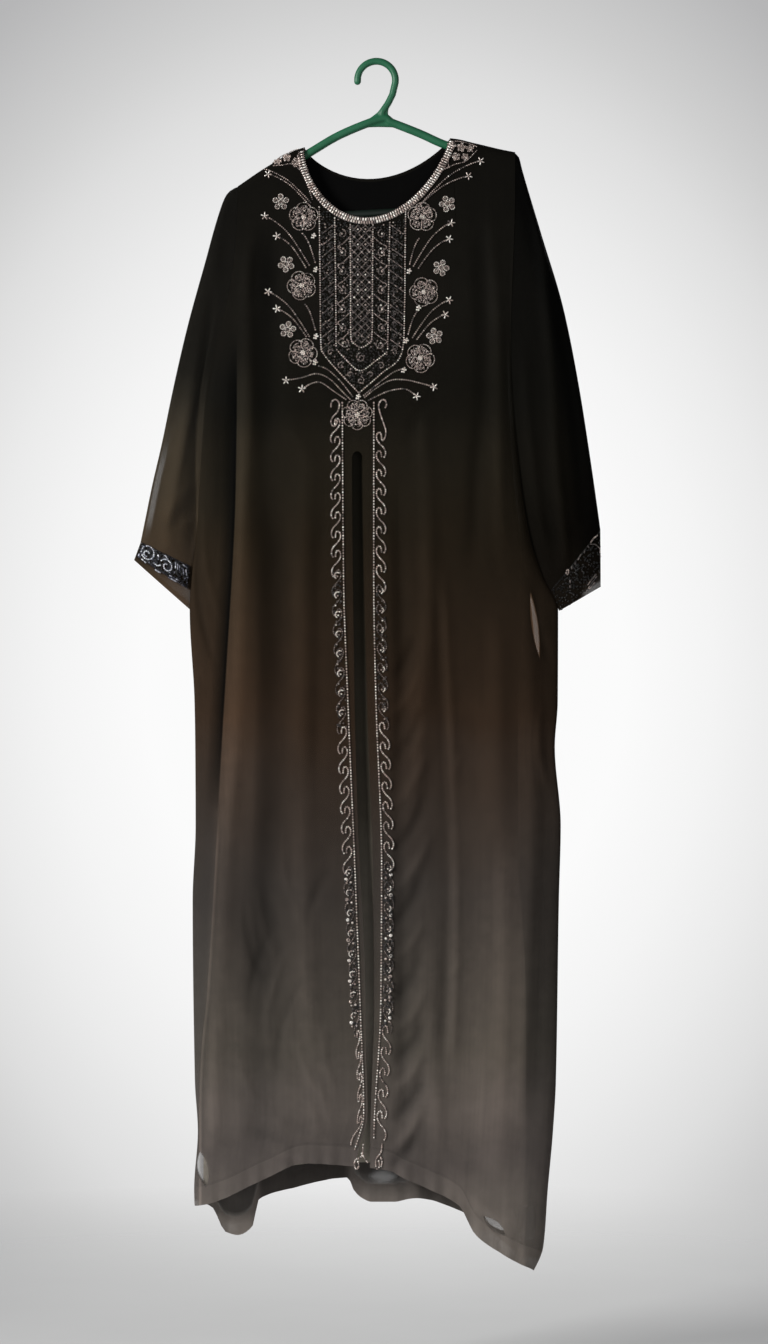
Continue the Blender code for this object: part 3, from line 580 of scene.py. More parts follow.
SIDE_SHARES = (0, 0.04, 0.14, 0.25, 0.36, 0.47, 0.58, 0.69, 0.8, 0.9)
LEFT_TOPS = [(x, 0) for x in (-187, -169, -151, -133, -115)] + [(None, turn) for turn in (180, 170, 160, 150, 140)]
RIGHT_TOPS = [(None, turn) for turn in (46, 35, 23, 11, 0)] + [(x, 0) for x in (115, 133, 151, 169, 187)]
YOKE_ANGLES = (131, 120.4, 109.9, 99.3, 88.7, 78.1, 67.6, 57)
SLIT_COLUMN = 13
FRONT_CELLS = 6


def front_columns() -> list[Column]:
    """Lays out the front.

    Returns:
        Its lines, from the left armhole to the right one.
    """
    left, right = LEFT_BORDER, RIGHT_BORDER
    lanes = (left.outer, lane_between(left.outer, left.inner, 0.5), left.inner, left.slit)
    lanes += (right.slit, right.inner, lane_between(right.inner, right.outer, 0.5), right.outer)
    lines = [Column(x, turn, lane_between(BODY_LEFT.at, left.outer, s)) for (x, turn), s in zip(LEFT_TOPS, SIDE_SHARES)]
    lines += [Column(None, turn, lane) for turn, lane in zip(YOKE_ANGLES, lanes)]
    tops = zip(RIGHT_TOPS, reversed(SIDE_SHARES))
    return lines + [Column(x, turn, lane_between(BODY_RIGHT.at, right.outer, s)) for (x, turn), s in tops]


def plain_columns(left: Curve, right: Curve, inset: float, shoulder: int, neck: int, first: float) -> list[Column]:
    """Lines of a plain panel: even on the shoulders and round the neck, with a narrow cell at each side.

    Args:
        left: The panel's left edge.
        right: The panel's right edge.
        inset: How far its shoulder ends lie inside the chiffon's.
        shoulder: Cells on each shoulder.
        neck: Cells round the neck.
        first: Share of the width at the first line in from the side.

    Returns:
        The lines from left to right.
    """
    total = 2 * shoulder + neck
    shares = [0, *(mix(first, 1 - first, k / (total - 2)) for k in range(total - 1)), 1]
    neck_left, neck_right = neck_point(FRONT, 180)[0], neck_point(FRONT, 0)[0]
    tops = [(float(mix(inset - SHOULDER_END, neck_left, k / shoulder)), 0) for k in range(shoulder)]
    tops += [(None, 90 + 90 * math.cos(math.pi * k / neck)) for k in range(neck + 1)]
    tops += [(float(mix(neck_right, SHOULDER_END - inset, k / shoulder)), 0) for k in range(1, shoulder + 1)]
    return [Column(x, turn, lane_between(left.at, right.at, s)) for (x, turn), s in zip(tops, shares)]


def deselect() -> None:
    """Leaves object mode with nothing selected."""
    if bpy.context.object and bpy.context.object.mode != "OBJECT":
        bpy.ops.object.mode_set(mode="OBJECT")
    bpy.ops.object.select_all(action="DESELECT")


def make_active(piece: Piece) -> None:
    """Selects one object alone and makes it the active one.

    Args:
        piece: The object.
    """
    deselect()
    bpy.context.view_layer.objects.active = piece
    piece.select_set(True)


def apply_modifiers(piece: Piece) -> None:
    """Applies modifiers in their order.

    Args:
        piece: The piece that has them.
    """
    make_active(piece)
    for modifier in list(piece.modifiers):
        bpy.ops.object.modifier_apply(modifier=modifier.name)


def edit_faces(wanted: Array, operator: Callable, **settings: object) -> None:
    """Runs an edit-mode operator on some faces of the active object.

    Args:
        wanted: Whether each face is one of them.
        operator: The operator.
        settings: What it is given.
    """
    bpy.ops.object.mode_set(mode="EDIT")
    bpy.ops.mesh.select_mode(type="FACE")
    bpy.ops.mesh.select_all(action="DESELECT")
    bpy.ops.object.mode_set(mode="OBJECT")
    bpy.context.object.data.polygons.foreach_set("select", wanted)
    bpy.ops.object.mode_set(mode="EDIT")
    operator(**settings)
    bpy.ops.object.mode_set(mode="OBJECT")


def finish(piece: Piece, material: Material, slot: str, *nodes: str) -> Piece:
    """Gives a piece its material and body, and says which solids it replaces.

    Args:
        piece: The piece.
        material: Its only material.
        slot: Not used.
        nodes: The solids that it replaces.

    Returns:
        The piece.
    """
    piece.data.materials.clear()
    piece.data.materials.append(material)
    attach(piece, "root")
    if nodes:
        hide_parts(*nodes)
    return piece


class Nodes:
    """A node tree under construction, with short ways to add and link nodes."""

    def __init__(self, tree: bpy.types.NodeTree) -> None:
        """Works on this tree."""
        self.tree = tree

    def node(self, kind: str, inputs: dict | None = None, **settings: object) -> bpy.types.Node:
        """Adds a node.

        Args:
            kind: Its type, without the ShaderNode in front.
            inputs: Values or sockets for its inputs, by name or number.
            settings: Its own properties.

        Returns:
            The node.
        """
        made = self.tree.nodes.new("ShaderNode" + kind)
        for key, value in settings.items():
            setattr(made, key, value)
        for key, value in (inputs or {}).items():
            self.feed(made.inputs[key], value)
        return made

    def feed(self, socket: Socket, value: object) -> None:
        """Gives an input its value.

        Args:
            socket: The input.
            value: A socket to link to it, or a constant.
        """
        if isinstance(value, Socket):
            self.tree.links.new(value, socket)
        else:
            socket.default_value = value

    def math(self, operation: str, *values: object) -> Socket:
        """The result of a Math node on values or sockets."""
        return self.node("Math", dict(enumerate(values)), operation=operation).outputs[0]

    def times(self, *values: object) -> Socket:
        """The product of two or more values or sockets."""
        return reduce(lambda one, other: self.math("MULTIPLY", one, other), values)

    def vector(self, operation: str, *values: object) -> Socket:
        """The result of a Vector Math node: its length where that is asked for."""
        outputs = self.node("VectorMath", dict(enumerate(values)), operation=operation).outputs
        return outputs["Value" if operation == "LENGTH" else "Vector"]

    def span(self, value: object, low: float, high: float, start: float = 0.0, end: float = 1.0) -> Socket:
        """A value taken from one range to another and kept inside it."""
        inputs = {"Value": value, "From Min": low, "From Max": high, "To Min": start, "To Max": end}
        return self.node("MapRange", inputs, clamp=True).outputs[0]

    def ramp(self, value: object, stops: tuple) -> Socket:
        """A colour from a ramp.

        Args:
            value: Where on the ramp, from 0 to 1.
            stops: (place, linear rgb) rows in rising order.

        Returns:
            The colour.
        """
        made = self.node("ValToRGB", {0: value})
        while len(made.color_ramp.elements) < len(stops):
            made.color_ramp.elements.new(1.0)
        for element, (place, rgb) in zip(made.color_ramp.elements, stops):
            element.position = place
            element.color = (*rgb, 1)
        return made.outputs[0]


class Shader(Nodes):
    """A procedural material under construction."""

    def __init__(self, name: str) -> None:
        """Starts a material with a Principled shader.

        Args:
            name: The material's name.
        """
        self.material = bpy.data.materials.new(name)
        self.material.use_nodes = True
        super().__init__(self.material.node_tree)
        self.surface = self.tree.nodes["Principled BSDF"]

    def place(self) -> Socket:
        """The place on the piece, in metres."""
        return self.node("TexCoord").outputs["Object"]

    def noise(self, place: Socket, scale: float, detail: float = 2.0) -> Socket:
        """A cloudy pattern from 0 to 1."""
        return self.node("TexNoise", {"Vector": place, "Scale": scale, "Detail": detail}).outputs[0]

    def shaded(self, colour: Socket, red: Socket, green: Socket, blue: Socket) -> Socket:
        """A colour times a factor for each channel."""
        factor = self.node("CombineColor", {0: red, 1: green, 2: blue}).outputs[0]
        return self.node("Mix", {0: 1.0, 6: colour, 7: factor}, data_type="RGBA", blend_type="MULTIPLY").outputs[2]

    def bump(self, height: Socket, strength: float, distance: float, **below: Socket) -> Socket:
        """A normal from a height, laid over the normal below where one is given."""
        return self.node("Bump", {"Strength": strength, "Distance": distance, "Height": height, **below}).outputs[0]

    def attribute(self, name: str) -> Socket:
        """A number painted on the piece's points."""
        return self.node("Attribute", attribute_name=name).outputs["Fac"]

    def gap(self, gap: "Gap") -> Socket:
        """Marks a gap in the cloth.

        Args:
            gap: Its place and size.

        Returns:
            1 inside it and 0 outside.
        """
        turned = self.node("Mapping", {"Vector": self.place()}, vector_type="TEXTURE")
        turned.inputs["Location"].default_value = (gap.x * MM, 0.0, gap.z * MM)
        turned.inputs["Rotation"].default_value = (0.0, math.radians(gap.turn), 0.0)
        turned.inputs["Scale"].default_value = (gap.half_length * MM, 1.0, gap.half_width * MM)
        across = self.node("SeparateXYZ", {0: turned.outputs[0]})
        along = self.math("POWER", self.math("ABSOLUTE", across.outputs[0]), 2.0)
        return self.span(self.math("ADD", along, self.math("ABSOLUTE", across.outputs[2])), 1.15, 0.85)

    def set(self, **values: object) -> None:
        """Feeds the Principled shader's inputs, named with _ for a space."""
        for key, value in values.items():
            self.feed(self.surface.inputs[key.replace("_", " ")], value)


class Thread(Enum):
    """The weaves: threads in each millimetre and how much they stand up."""

    CHIFFON = (1.15, 0.35)
    SATIN = (1.6, 0.15)


@dataclass(frozen=True)
class Gap:
    """A leaf-shaped clear place: its middle, half sizes, degrees turned, how clear it is and how much painted light,
    shining through, brightens the cloth in it.
    """

    x: float
    z: float
    half_length: float
    half_width: float
    turn: float
    clear: float
    pale: float = 0.0


@dataclass(frozen=True)
class Ombre:
    """Dyed cloth that pales downwards: (height in mm, sRGB) stops, in the lining's case with painted light and shade,
    how clear the weave is and how it shines.
    """

    name: str
    stops: tuple
    thread: Thread
    alpha: float = 1.0
    roughness: float = 0.7
    sheen: float = 0.012
    specular: float = 0.03
    gaps: tuple[Gap, ...] = ()

    def make(self) -> Material:
        """Makes the cloth's finish.

        Returns:
            The material: ramp on height, cloudy dye, weave in the UV map, painted tone with painted light and shade,
                hem and clear places.
        """
        shader = Shader(self.name)
        place, uv = shader.place(), shader.node("UVMap", uv_map="UVMap").outputs[0]
        weave, band = self.weave(shader, uv), shader.attribute("hem")
        streaks = shader.node("Mapping", {"Vector": uv, "Scale": (210.0, 6.0, 1.0)}).outputs[0]
        gaps = [(gap, shader.gap(gap)) for gap in self.gaps]
        # The painted tone holds painted light and shade from the creases, the stripes, the sides and the sleeves
        tone = shader.times(
            shader.attribute("tone"),
            shader.span(weave, 0.0, 1.0, 0.86, 1.08),
            shader.span(shader.noise(place, 55.0, 4.0), 0.3, 0.7, 0.94, 1.06),
            shader.span(shader.noise(streaks, 1.0, 3.0), 0.3, 0.7, 0.955, 1.045),
            # Painted shade in the fold's valley, painted highlight on its crest, and painted shade and light outside
            # the lining's edges
            *self.fold_shade_and_light(shader),
            # Painted light shining through the gaps that have a pale share
            *(shader.span(inside, 0.0, 1.0, 1.0, 1.0 + gap.pale) for gap, inside in gaps),
            shader.span(shader.math("ABSOLUTE", shader.math("SUBTRACT", band, 1.0)), 0.03, 0.1, 0.93, 1.0),
            shader.span(band, 0.94, 1.0, 1.03, 1.0),
        )
        warm, cool = shader.math("POWER", tone, 1.05), shader.math("POWER", tone, 0.97)
        shader.set(Base_Color=shader.shaded(self.dye(shader, place), warm, tone, cool))
        shader.set(Roughness=self.roughness, Sheen_Weight=self.sheen, Sheen_Roughness=0.4)
        shader.set(Specular_IOR_Level=self.specular, Sheen_Tint=(0.9, 0.85, 0.8, 1))
        if self.alpha < 1:
            clear = shader.attribute("sheer")
            for gap, inside in gaps:
                clear = shader.math("ADD", clear, shader.times(inside, gap.clear))
            woven = shader.math("ADD", self.alpha, shader.span(weave, 0.0, 1.0, -0.05, 0.05))
            turned = shader.span(band, 0.9, 1.0, min(self.alpha + 0.1, 1), 0.0)
            cover = shader.math("SUBTRACT", shader.math("MAXIMUM", woven, turned), clear)
            shader.set(Alpha=shader.math("MINIMUM", shader.math("MAXIMUM", cover, 0.02), 1.0))
        threads = shader.bump(weave, self.thread.value[1], 0.0002)
        shader.set(Normal=shader.bump(shader.noise(place, 38.0), 0.25, 0.002, Normal=threads))
        return shader.material

    def dye(self, shader: Shader, place: Socket) -> Socket:
        """The dye's colour by height, with a slightly cloudy edge; the lining's stops hold painted light and shade too.

        Args:
            shader: The material under construction.
            place: The place on the piece.

        Returns:
            The colour.
        """
        height = shader.node("SeparateXYZ", {0: place}).outputs[2]
        drifted = shader.math("ADD", height, shader.span(shader.noise(place, 9.0, 3.0), 0.3, 0.7, -0.02, 0.02))
        low, high = self.stops[-1][0] * MM, self.stops[0][0] * MM
        stops = tuple(((z * MM - low) / (high - low), linear(rgb)) for z, rgb in reversed(self.stops))
        return shader.ramp(shader.span(drifted, low, high), stops)

    def fold_shade_and_light(self, shader: Shader) -> tuple[Socket, Socket, Socket]:
        """Painted light and shade from the painted fold at the cloth's side.

        Args:
            shader: The material under construction.

        Returns:
            Factors for the painted shade and light of the cloth outside the fold, the painted shade in the valley
            beside it and the painted highlight on the crest just inside it.
        """
        fold, valley_shade_crest_light = shader.attribute("fold"), shader.attribute("valley_shade_crest_light")
        outside = shader.span(fold, -0.8, 0.8, 1.0, 0.0)
        side = shader.times(shader.math("SUBTRACT", shader.attribute("side"), 1.0), outside)
        painted_shade = shader.times(shader.span(fold, -20.0, -2.0), shader.math("MAXIMUM", valley_shade_crest_light, 0.0), outside)
        crest_highlight = shader.times(shader.span(fold, 4.5, 1.5), shader.math("MINIMUM", valley_shade_crest_light, 0.0))
        crest_highlight = shader.times(crest_highlight, shader.math("SUBTRACT", outside, 1.0))
        dark = shader.span(painted_shade, 0.0, 1.0, 1.0, 0.0)
        return shader.math("ADD", side, 1.0), dark, shader.math("ADD", crest_highlight, 1.0)

    def weave(self, shader: Shader, uv: Socket) -> Socket:
        """Warp and weft waves.

        Args:
            shader: The material under construction.
            uv: The UV map, in metres.

        Returns:
            Their mean height, from 0 to 1.
        """
        wave = {"Vector": uv, "Scale": self.thread.value[0] * 1000 / 3.2, "Distortion": 0.6, "Detail": 1.0}
        waves = [shader.node("TexWave", wave, bands_direction=way).outputs[1] for way in "XY"]
        return shader.times(shader.math("ADD", *waves), 0.5)


def linear(rgb: tuple) -> tuple:
    """Turns an sRGB colour into Blender's linear colour.

    Args:
        rgb: The colour in 0 to 255.

    Returns:
        The colour in 0 to 1.
    """
    shares = (channel / 255 for channel in rgb)
    return tuple(s / 12.92 if s <= 0.04045 else ((s + 0.055) / 1.055) ** 2.4 for s in shares)


CHIFFON = Ombre(
    "ombre_chiffon",
    (
        (-90, (14, 13, 10)), (-330, (24, 22, 18)), (-450, (25, 23, 18)), (-560, (31, 27, 20)), (-640, (33, 27, 19)),
        (-880, (47, 36, 27)), (-1120, (57, 52, 48)), (-1330, (74, 69, 63)), (-1480, (92, 85, 81)),
        (-1545, (106, 99, 93)), (-1650, (116, 109, 102)),
    ),
    Thread.CHIFFON,
    alpha=0.8,
    gaps=(
        # The leaf under the right arm, with painted light shining through it
        Gap(213.5, -757, 43, 4.3, 82, 0.44, 11),
        Gap(158.5, -1564, 20, 6.5, 41, 0.62),
        Gap(-234, -1490, 24, 8.0, 80, 0.58),
    ),
)
# Lining dye that pales downwards, with painted shade in its dark top, inside the neck, and painted light in its pale
# lower stops, inside the slit
LINING_DYE_LIGHT_AND_SHADE = Ombre(
    "lining_dye_light_and_shade",
    (
        (-90, (3, 3, 3)), (-300, (8, 7, 6)), (-480, (33, 31, 24)), (-740, (53, 48, 38)), (-1015, (84, 78, 68)),
        (-1290, (158, 150, 138)), (-1600, (165, 158, 145)),
    ),
    Thread.SATIN,
    roughness=0.5,
    sheen=0.02,
    specular=0.05,
)


PLAIN_PAINT = {"tone": 1.0, "hem": 2.0, "sheer": 0.0, "fold": 99.0, "side": 1.0, "valley_shade_crest_light": 0.0}


@dataclass
class Cloth:
    """One piece of cloth: its name, the node it replaces, slot, grid of points, finish, flat cut and wall."""

    name: str
    node: str
    slot: str
    points: Array
    finish: Material
    flat: tuple[float, float]
    area: float
    thickness: float = SHELL
    open_cells: Array | None = None
    paint: dict = field(default_factory=dict)

    def build(self) -> Piece:
        """Lays a grid on the points, takes out the open cells and gives the sheet its wall.

        Returns:
            The finished piece.
        """
        columns, rows = self.points.shape[0] - 1, self.points.shape[1] - 1
        deselect()
        bpy.ops.mesh.primitive_grid_add(x_subdivisions=columns, y_subdivisions=rows, size=1)
        piece = bpy.context.object
        piece.name = piece.data.name = self.name
        upward = self.points[:, ::-1]
        self.by_rows(piece.data.vertices, "co", upward * MM)
        for name, plain in PLAIN_PAINT.items():
            painted = self.paint.get(name, np.full(self.points.shape[:2], plain))
            self.by_rows(piece.data.attributes.new(name, "FLOAT", "POINT").data, "value", painted[:, ::-1])
        self.lay_uv(piece, upward)
        if self.open_cells is not None:
            edit_faces(np.swapaxes(self.open_cells[:, ::-1], 0, 1).ravel(), bpy.ops.mesh.delete, type="FACE")
        wall = piece.modifiers.new("wall", "SOLIDIFY")
        wall.thickness = self.thickness * MM
        wall.offset = 0
        apply_modifiers(piece)
        bpy.ops.object.shade_smooth_by_angle(angle=math.radians(60))
        finish(piece, self.finish, self.slot, self.node)
        return piece

    @staticmethod
    def by_rows(target: bpy.types.bpy_prop_collection, key: str, values: Array) -> None:
        """Writes values of a (line, row) grid to the points, which run row by row."""
        target.foreach_set(key, np.swapaxes(values, 0, 1).astype(np.float32).ravel())

    @staticmethod
    def lay_uv(piece: Piece, upward: Array) -> None:
        """Gives the grid a UV map in metres along its lines and rows.

        Args:
            piece: The grid's object.
            upward: Its points from the bottom row up, in millimetres.
        """
        across = np.linalg.norm(np.diff(upward, axis=0), axis=2).mean(axis=1)
        along = np.linalg.norm(np.diff(upward, axis=1), axis=2).mean(axis=0)
        u, v = (np.concatenate([[0], np.cumsum(steps)]) * MM for steps in (across, along))
        corners = np.empty(len(piece.data.loops), np.int32)
        piece.data.loops.foreach_get("vertex_index", corners)
        uv = np.stack([u[corners % len(u)], v[corners // len(u)]], axis=-1)
        piece.data.uv_layers[0].data.foreach_set("uv", uv.astype(np.float32).ravel())


def soft_spot(points: Array, x: float, z: float, wide: float, high: float, lean: float = 0.0) -> Array:
    """A soft oval spot on a grid of points.

    Args:
        points: The grid, (line, row, 3).
        x: The spot's centre across.
        z: The spot's centre height.
        wide: Its half width.
        high: Its half height.
        lean: How far it moves across for each unit up.

    Returns:
        1 at its centre, falling to 0 at its rim.
    """
    across = (points[..., 0] - x - (points[..., 2] - z) * lean) / wide
    up = (points[..., 2] - z) / high
    return ease(1.6 * (1 - np.sqrt(across**2 + up**2)))


def patch(points: Array, corners: tuple, soft: float = 2.5) -> Array:
    """A clear place with straight edges on a grid of points.

    Args:
        points: The grid, (line, row, 3).
        corners: Its (x, z) corners, clockwise.
        soft: How wide its edges blur.

    Returns:
        1 inside, falling to 0 outside.
    """
    share = np.ones(points.shape[:2])
    for (ax, az), (bx, bz) in zip(corners, corners[1:] + corners[:1]):
        aside = ((bx - ax) * (points[..., 2] - az) - (bz - az) * (points[..., 0] - ax)) / math.hypot(bx - ax, bz - az)
        share = share * ease(0.5 - aside / soft)
    return share


# Painted shade and light of the chiffon outside the lining's edges, by height
LEFT_SIDE_SHADE_AND_LIGHT = Curve((
    (-1500, 1.0), (-1263, 1.15), (-1128, 1.15), (-993, 1.3), (-858, 1.45), (-655, 1.4), (-560, 1.3), (-480, 1.1),
    (-430, 1.0),
))
RIGHT_SIDE_SHADE_AND_LIGHT = Curve((
    (-1500, 0.97), (-1263, 0.97), (-1128, 1.1), (-993, 1.25), (-925, 1.25), (-858, 1.05), (-655, 0.9), (-480, 1.0),
))
# How much clearer, or thicker below 0, the chiffon is there
LEFT_SIDE_CLEAR = Curve(((-1500, 0.2), (-1263, 0.16), (-1060, 0.1), (-858, -0.08), (-655, -0.14), (-480, -0.1)))
RIGHT_SIDE_CLEAR = Curve(((-1560, 0.06), (-1480, -0.1), (-858, -0.14), (-480, -0.1)))
# Where the main cloth folds over the left side, and the painted shade in the fold's valley, or below 0 the painted
# highlight on the crest inside it
SIDE_FOLD = Curve((
    (-1400, -239), (-1330, -236), (-1263, -229), (-1128, -220), (-925, -208.6), (-790, -200.5), (-655, -192.4),
    (-588, -189.7), (-480, -188),
))
VALLEY_SHADE_CREST_LIGHT = Curve((
    (-1400, -0.7), (-1060, -0.7), (-1010, 0.0), (-993, 0.3), (-925, 0.8), (-858, 0.92), (-588, 0.95), (-480, 0.9),
    (-420, 0.6), (-360, 0),
))
RIGHT_BAND = Curve(((-1600, 200), (-1263, 201), (-1060, 191), (-858, 190), (-655, 196), (-480, 182)))


@dataclass
class Body:
    """The chiffon front and back and the two lining panels, with their flat cuts and areas."""

    rows: Rows = field(default_factory=Rows)
    lining_rows: Rows = field(default_factory=lambda: Rows(edge=6, chest=30, arm=12, skirt=70))
    cells: int = 6
    slit_arch: float = 6.7
    arched_rows: int = 5
    lining_wall: float = 0.5
    lining_hem: float = 14
    chiffon_cut: tuple = ((0.51, 1.55), 0.7)
    lining_cut: tuple = ((0.43, 1.46), 0.6)

    def build(self) -> list[Piece]:
        """Makes the four panels.

        Returns:
            Front, back and the linings' pieces.
        """
        chiffon, lining = CHIFFON.make(), LINING_DYE_LIGHT_AND_SHADE.make()
        self.front = panel_points(FRONT_WALL, front_columns(), FRONT_HEM, self.rows, FRONT_CELLS)
        columns = plain_columns(BODY_LEFT, BODY_RIGHT, inset=0, shoulder=5, neck=8, first=0.02)
        self.back = panel_points(BACK_WALL, columns, BACK_HEM, self.rows, self.cells)
        self.arch_slit()
        cloths = []
        for node, points in (("front", self.front), ("back", self.back)):
            cloths.append(Cloth(f"{node}_panel", node, f"chiffon_{node}", points, chiffon, *self.chiffon_cut))
            cloths[-1].paint = self.painted(points)
        cloths[0].open_cells = self.slit_cells()
        lines = plain_columns(LINING_LEFT, LINING_RIGHT, inset=6, shoulder=3, neck=8, first=0.03)
        for node, wall in (("lining_front", LINING_FRONT), ("lining_back", LINING_BACK)):
            points = panel_points(wall, lines, LINING_HEM, self.lining_rows, self.cells)
            cloths.append(Cloth(f"{node}_panel", node, "lining", points, lining, *self.lining_cut, self.lining_wall))
            cloths[-1].paint = {"hem": self.from_hem(points, self.lining_hem)}
        return [cloth.build() for cloth in cloths]

    def slit_cells(self) -> Array:
        """Marks the slit.

        Returns:
            Which cells of the front are open: one space between lines, below the slit's top.
        """
        cells = np.zeros((self.front.shape[0] - 1, self.front.shape[1] - 1), bool)
        first = SLIT_COLUMN * FRONT_CELLS
        cells[first : first + FRONT_CELLS, self.rows.slit :] = True
        return cells

    def arch_slit(self) -> None:
        """Rounds the top of the slit by lifting the rows over it."""
        for i in range(1, FRONT_CELLS):
            rise = self.slit_arch * math.sin(math.pi * i / FRONT_CELLS) ** 0.6
            for k in range(self.arched_rows):
                self.front[SLIT_COLUMN * FRONT_CELLS + i, self.rows.slit - k, 2] += rise * (1 - k / self.arched_rows)

    @staticmethod
    def from_hem(points: Array, band: float) -> Array:
        """Each point's height over the hem in widths of the hem's band, up to 2."""
        return np.minimum((points[..., 2] - points[:, -1:, 2]) / band, 2.0)

    def painted(self, points: Array) -> dict:
        """Tone with painted light and shade, hem, fold and clear places of a chiffon panel.

        Args:
            points: The panel's grid.

        Returns:
            The painted layers by name.
        """
        x, z = points[..., 0], points[..., 2]
        left = x < 0
        fold = np.where(left, x - SIDE_FOLD.at(z), RIGHT_BAND.at(z) - x)
        valley_shade_crest_light = np.where(left, VALLEY_SHADE_CREST_LIGHT.at(z), 0.0)
        # Painted shade beside the left fold under the arm, and painted shade and light outside the lining's edges
        beside = ease((fold + 46) / 26) * ease((z + 700) / 150) * ease((-380 - z) / 60) * left
        side = np.where(left, LEFT_SIDE_SHADE_AND_LIGHT.at(z), RIGHT_SIDE_SHADE_AND_LIGHT.at(z)) * (1 - 0.4 * beside)
        under = mix(ease(fold / 9 + 0.5), 1.0, ease((z + 520) / 90))
        # Painted light on lighter stripes: the left ridge over the lining's edge and the lower right of the front
        lit = 1 + 0.7 * ease((-152 - x) / 22) * ease((-380 - z) / 80) * ease((z + 1150) / 250)
        lit = lit * (1 + 0.24 * ease((x - 148) / 20) * ease((-1000 - z) / 120) * ease((z + 1480) / 150))
        wall = FRONT_WALL if points is self.front else BACK_WALL
        # Painted light on the creases' ridges and painted shade in their troughs
        tone = lit * np.clip(1 + 0.075 * wall.folds_at(x, z), 0.5, 1.6)
        clear = (
            0.14 * patch(points, ((185, -1537), (214, -1537), (212, -1592), (190, -1592)), 6)
            + 0.1 * soft_spot(points, 160, -1588, 50, 24)
            - 0.1 * np.maximum(valley_shade_crest_light, 0) * np.exp(-((fold / 9) ** 2))
            - 0.19 * ease((z + 420) / 120)
        )
        if points is self.back:
            above = z - points[:, -1:, 2]
            shaded = ease((x + 162) / 8) * ease((-36 - x) / 6) + ease((x - 52) / 10)
            raised = np.maximum(ease((above - HEM_BAND) / 4), shaded)
            inside = raised * ease((130 - above) / 60)
            # Painted shade, down to 0.6, on the back's inside above its hem band, where the front hangs before it
            tone = tone * mix(1.0, 0.6, inside) * mix(1.2, 1.0, raised)
            clear += 0.3 * soft_spot(points, 9, -1504, 26, 10) + 0.14 * soft_spot(points, -200, -1572, 20, 9)
            clear -= 0.14 * inside
        else:
            tone = tone * (1 + 0.32 * under * ease((x - 60) / 60) * ease((-800 - z) / 280))
        clear += (1 - under) * np.where(left, LEFT_SIDE_CLEAR.at(z), RIGHT_SIDE_CLEAR.at(z))
        hem = self.from_hem(points, HEM_BAND)
        return {"tone": tone, "hem": hem, "sheer": clear, "fold": fold, "side": side / lit, "valley_shade_crest_light": valley_shade_crest_light}


@dataclass(frozen=True)
class SleeveCut:
    """One sleeve: its side of the body, its outer fold, the ends of its cuff's two edges and its creases."""

    name: str
    turn: int
    fold: Curve
    cuff_outer: tuple[float, float]
    cuff_inner: tuple[float, float]
    hem_outer: tuple[float, float]
    hem_inner: tuple[float, float]
    creases: tuple
    area: float
    cuff_area: float

    def folds_at(self, x: Array, z: Array) -> Array:
        """How far the creases lift the sleeve at places on it, in millimetres."""
        return sum(crease.height_at(x, z) for crease in self.creases)


LEFT_CUT = SleeveCut(
    "left",
    -1,
    Curve((
        (-164.6, -187), (-169, -197), (-176, -204), (-192, -211), (-273, -234), (-354, -256), (-435, -274.5),
        (-516, -291), (-566, -302.5), (-611, -311.5), (-646, -318.5),
    )),
    cuff_outer=(-318.5, -646),
    cuff_inner=(-251.3, -680),
    hem_outer=(-327, -669),
    hem_inner=(-251.5, -736),
    creases=(
        Crease(((-180, -196), (-300, -222), (-420, -246), (-560, -272), (-700, -292)), 3.4, 11),
        Crease(((-240, -214), (-372, -228), (-520, -240), (-700, -250)), -3.2, 11),
        Crease(((-420, -262), (-560, -286), (-700, -306)), -2.4, 9),
        *wrinkles((-236, -560, -286, -620, 2.2, 9), (-246, -600, -300, -655, -2.2, 9)),
    ),
    area=0.058,
    cuff_area=0.006,
)
RIGHT_CUT = SleeveCut(
    "right",
    1,
    Curve((
        (-118.6, 187), (-125, 193.5), (-142, 198), (-227, 223), (-329, 253), (-430, 273), (-530, 288.5), (-605, 299),
        (-628, 302),
    )),
    cuff_outer=(302, -628),
    cuff_inner=(236.3, -712),
    hem_outer=(302.5, -705),
    hem_inner=(246.9, -737.5),
    creases=(
        Crease(((-150, 214), (-218, 222), (-303, 229), (-404, 236), (-530, 242), (-605, 249), (-720, 262)), 4.4, 9),
        Crease(((-170, 222), (-303, 244), (-430, 262), (-560, 274), (-700, 284)), -2.6, 10),
        Crease(((-360, 196), (-475, 204), (-585, 216), (-700, 236)), 2.2, 8),
        *wrinkles((222, -600, 262, -660, -2.2, 8), (232, -560, 280, -610, 2.0, 9)),
    ),
    area=0.087,
    cuff_area=0.0075,
)
LAST_STEP = 15
RING_POWER = 1.4
CUFF_ROUND = 4
CUFF_FULLNESS = 8
SLEEVE_FULLNESS = 3
ARMHOLE_GAP = -1.6
UNDERARM_GAP = -1.6
CUFF_GAP = -1.2
TUCK = 0.55


def cuff_share(step: float, length: float) -> float:
    """How far along the cuff a line lies: round the fold first, then evenly.

    Args:
        step: The line's row number in the source.
        length: The cuff's length.

    Returns:
        The share, from 0 at the fold to 1 at the inner end.
    """
    if step <= 3:
        return CUFF_ROUND * (1 - math.cos(np.interp(step, range(4), ROLL_ANGLES))) / length
    return float(mix(CUFF_ROUND / length, 1, (step - 3) / (LAST_STEP - 3)))


def cuff_depth(step: float, share: float) -> float:
    """Half depth of the open cuff at a line.

    Args:
        step: The line's row number in the source.
        share: How far along the cuff it lies.

    Returns:
        The depth in millimetres.
    """
    if step == 0:
        return 0.0
    rounding = CUFF_ROUND * math.sin(np.interp(min(step, 3), range(4), ROLL_ANGLES))
    closing = math.sqrt(max(1 - share**4, 0.0))
    return max(rounding * closing + CUFF_FULLNESS * math.sin(math.pi * share) ** 0.8, FACING / 2)


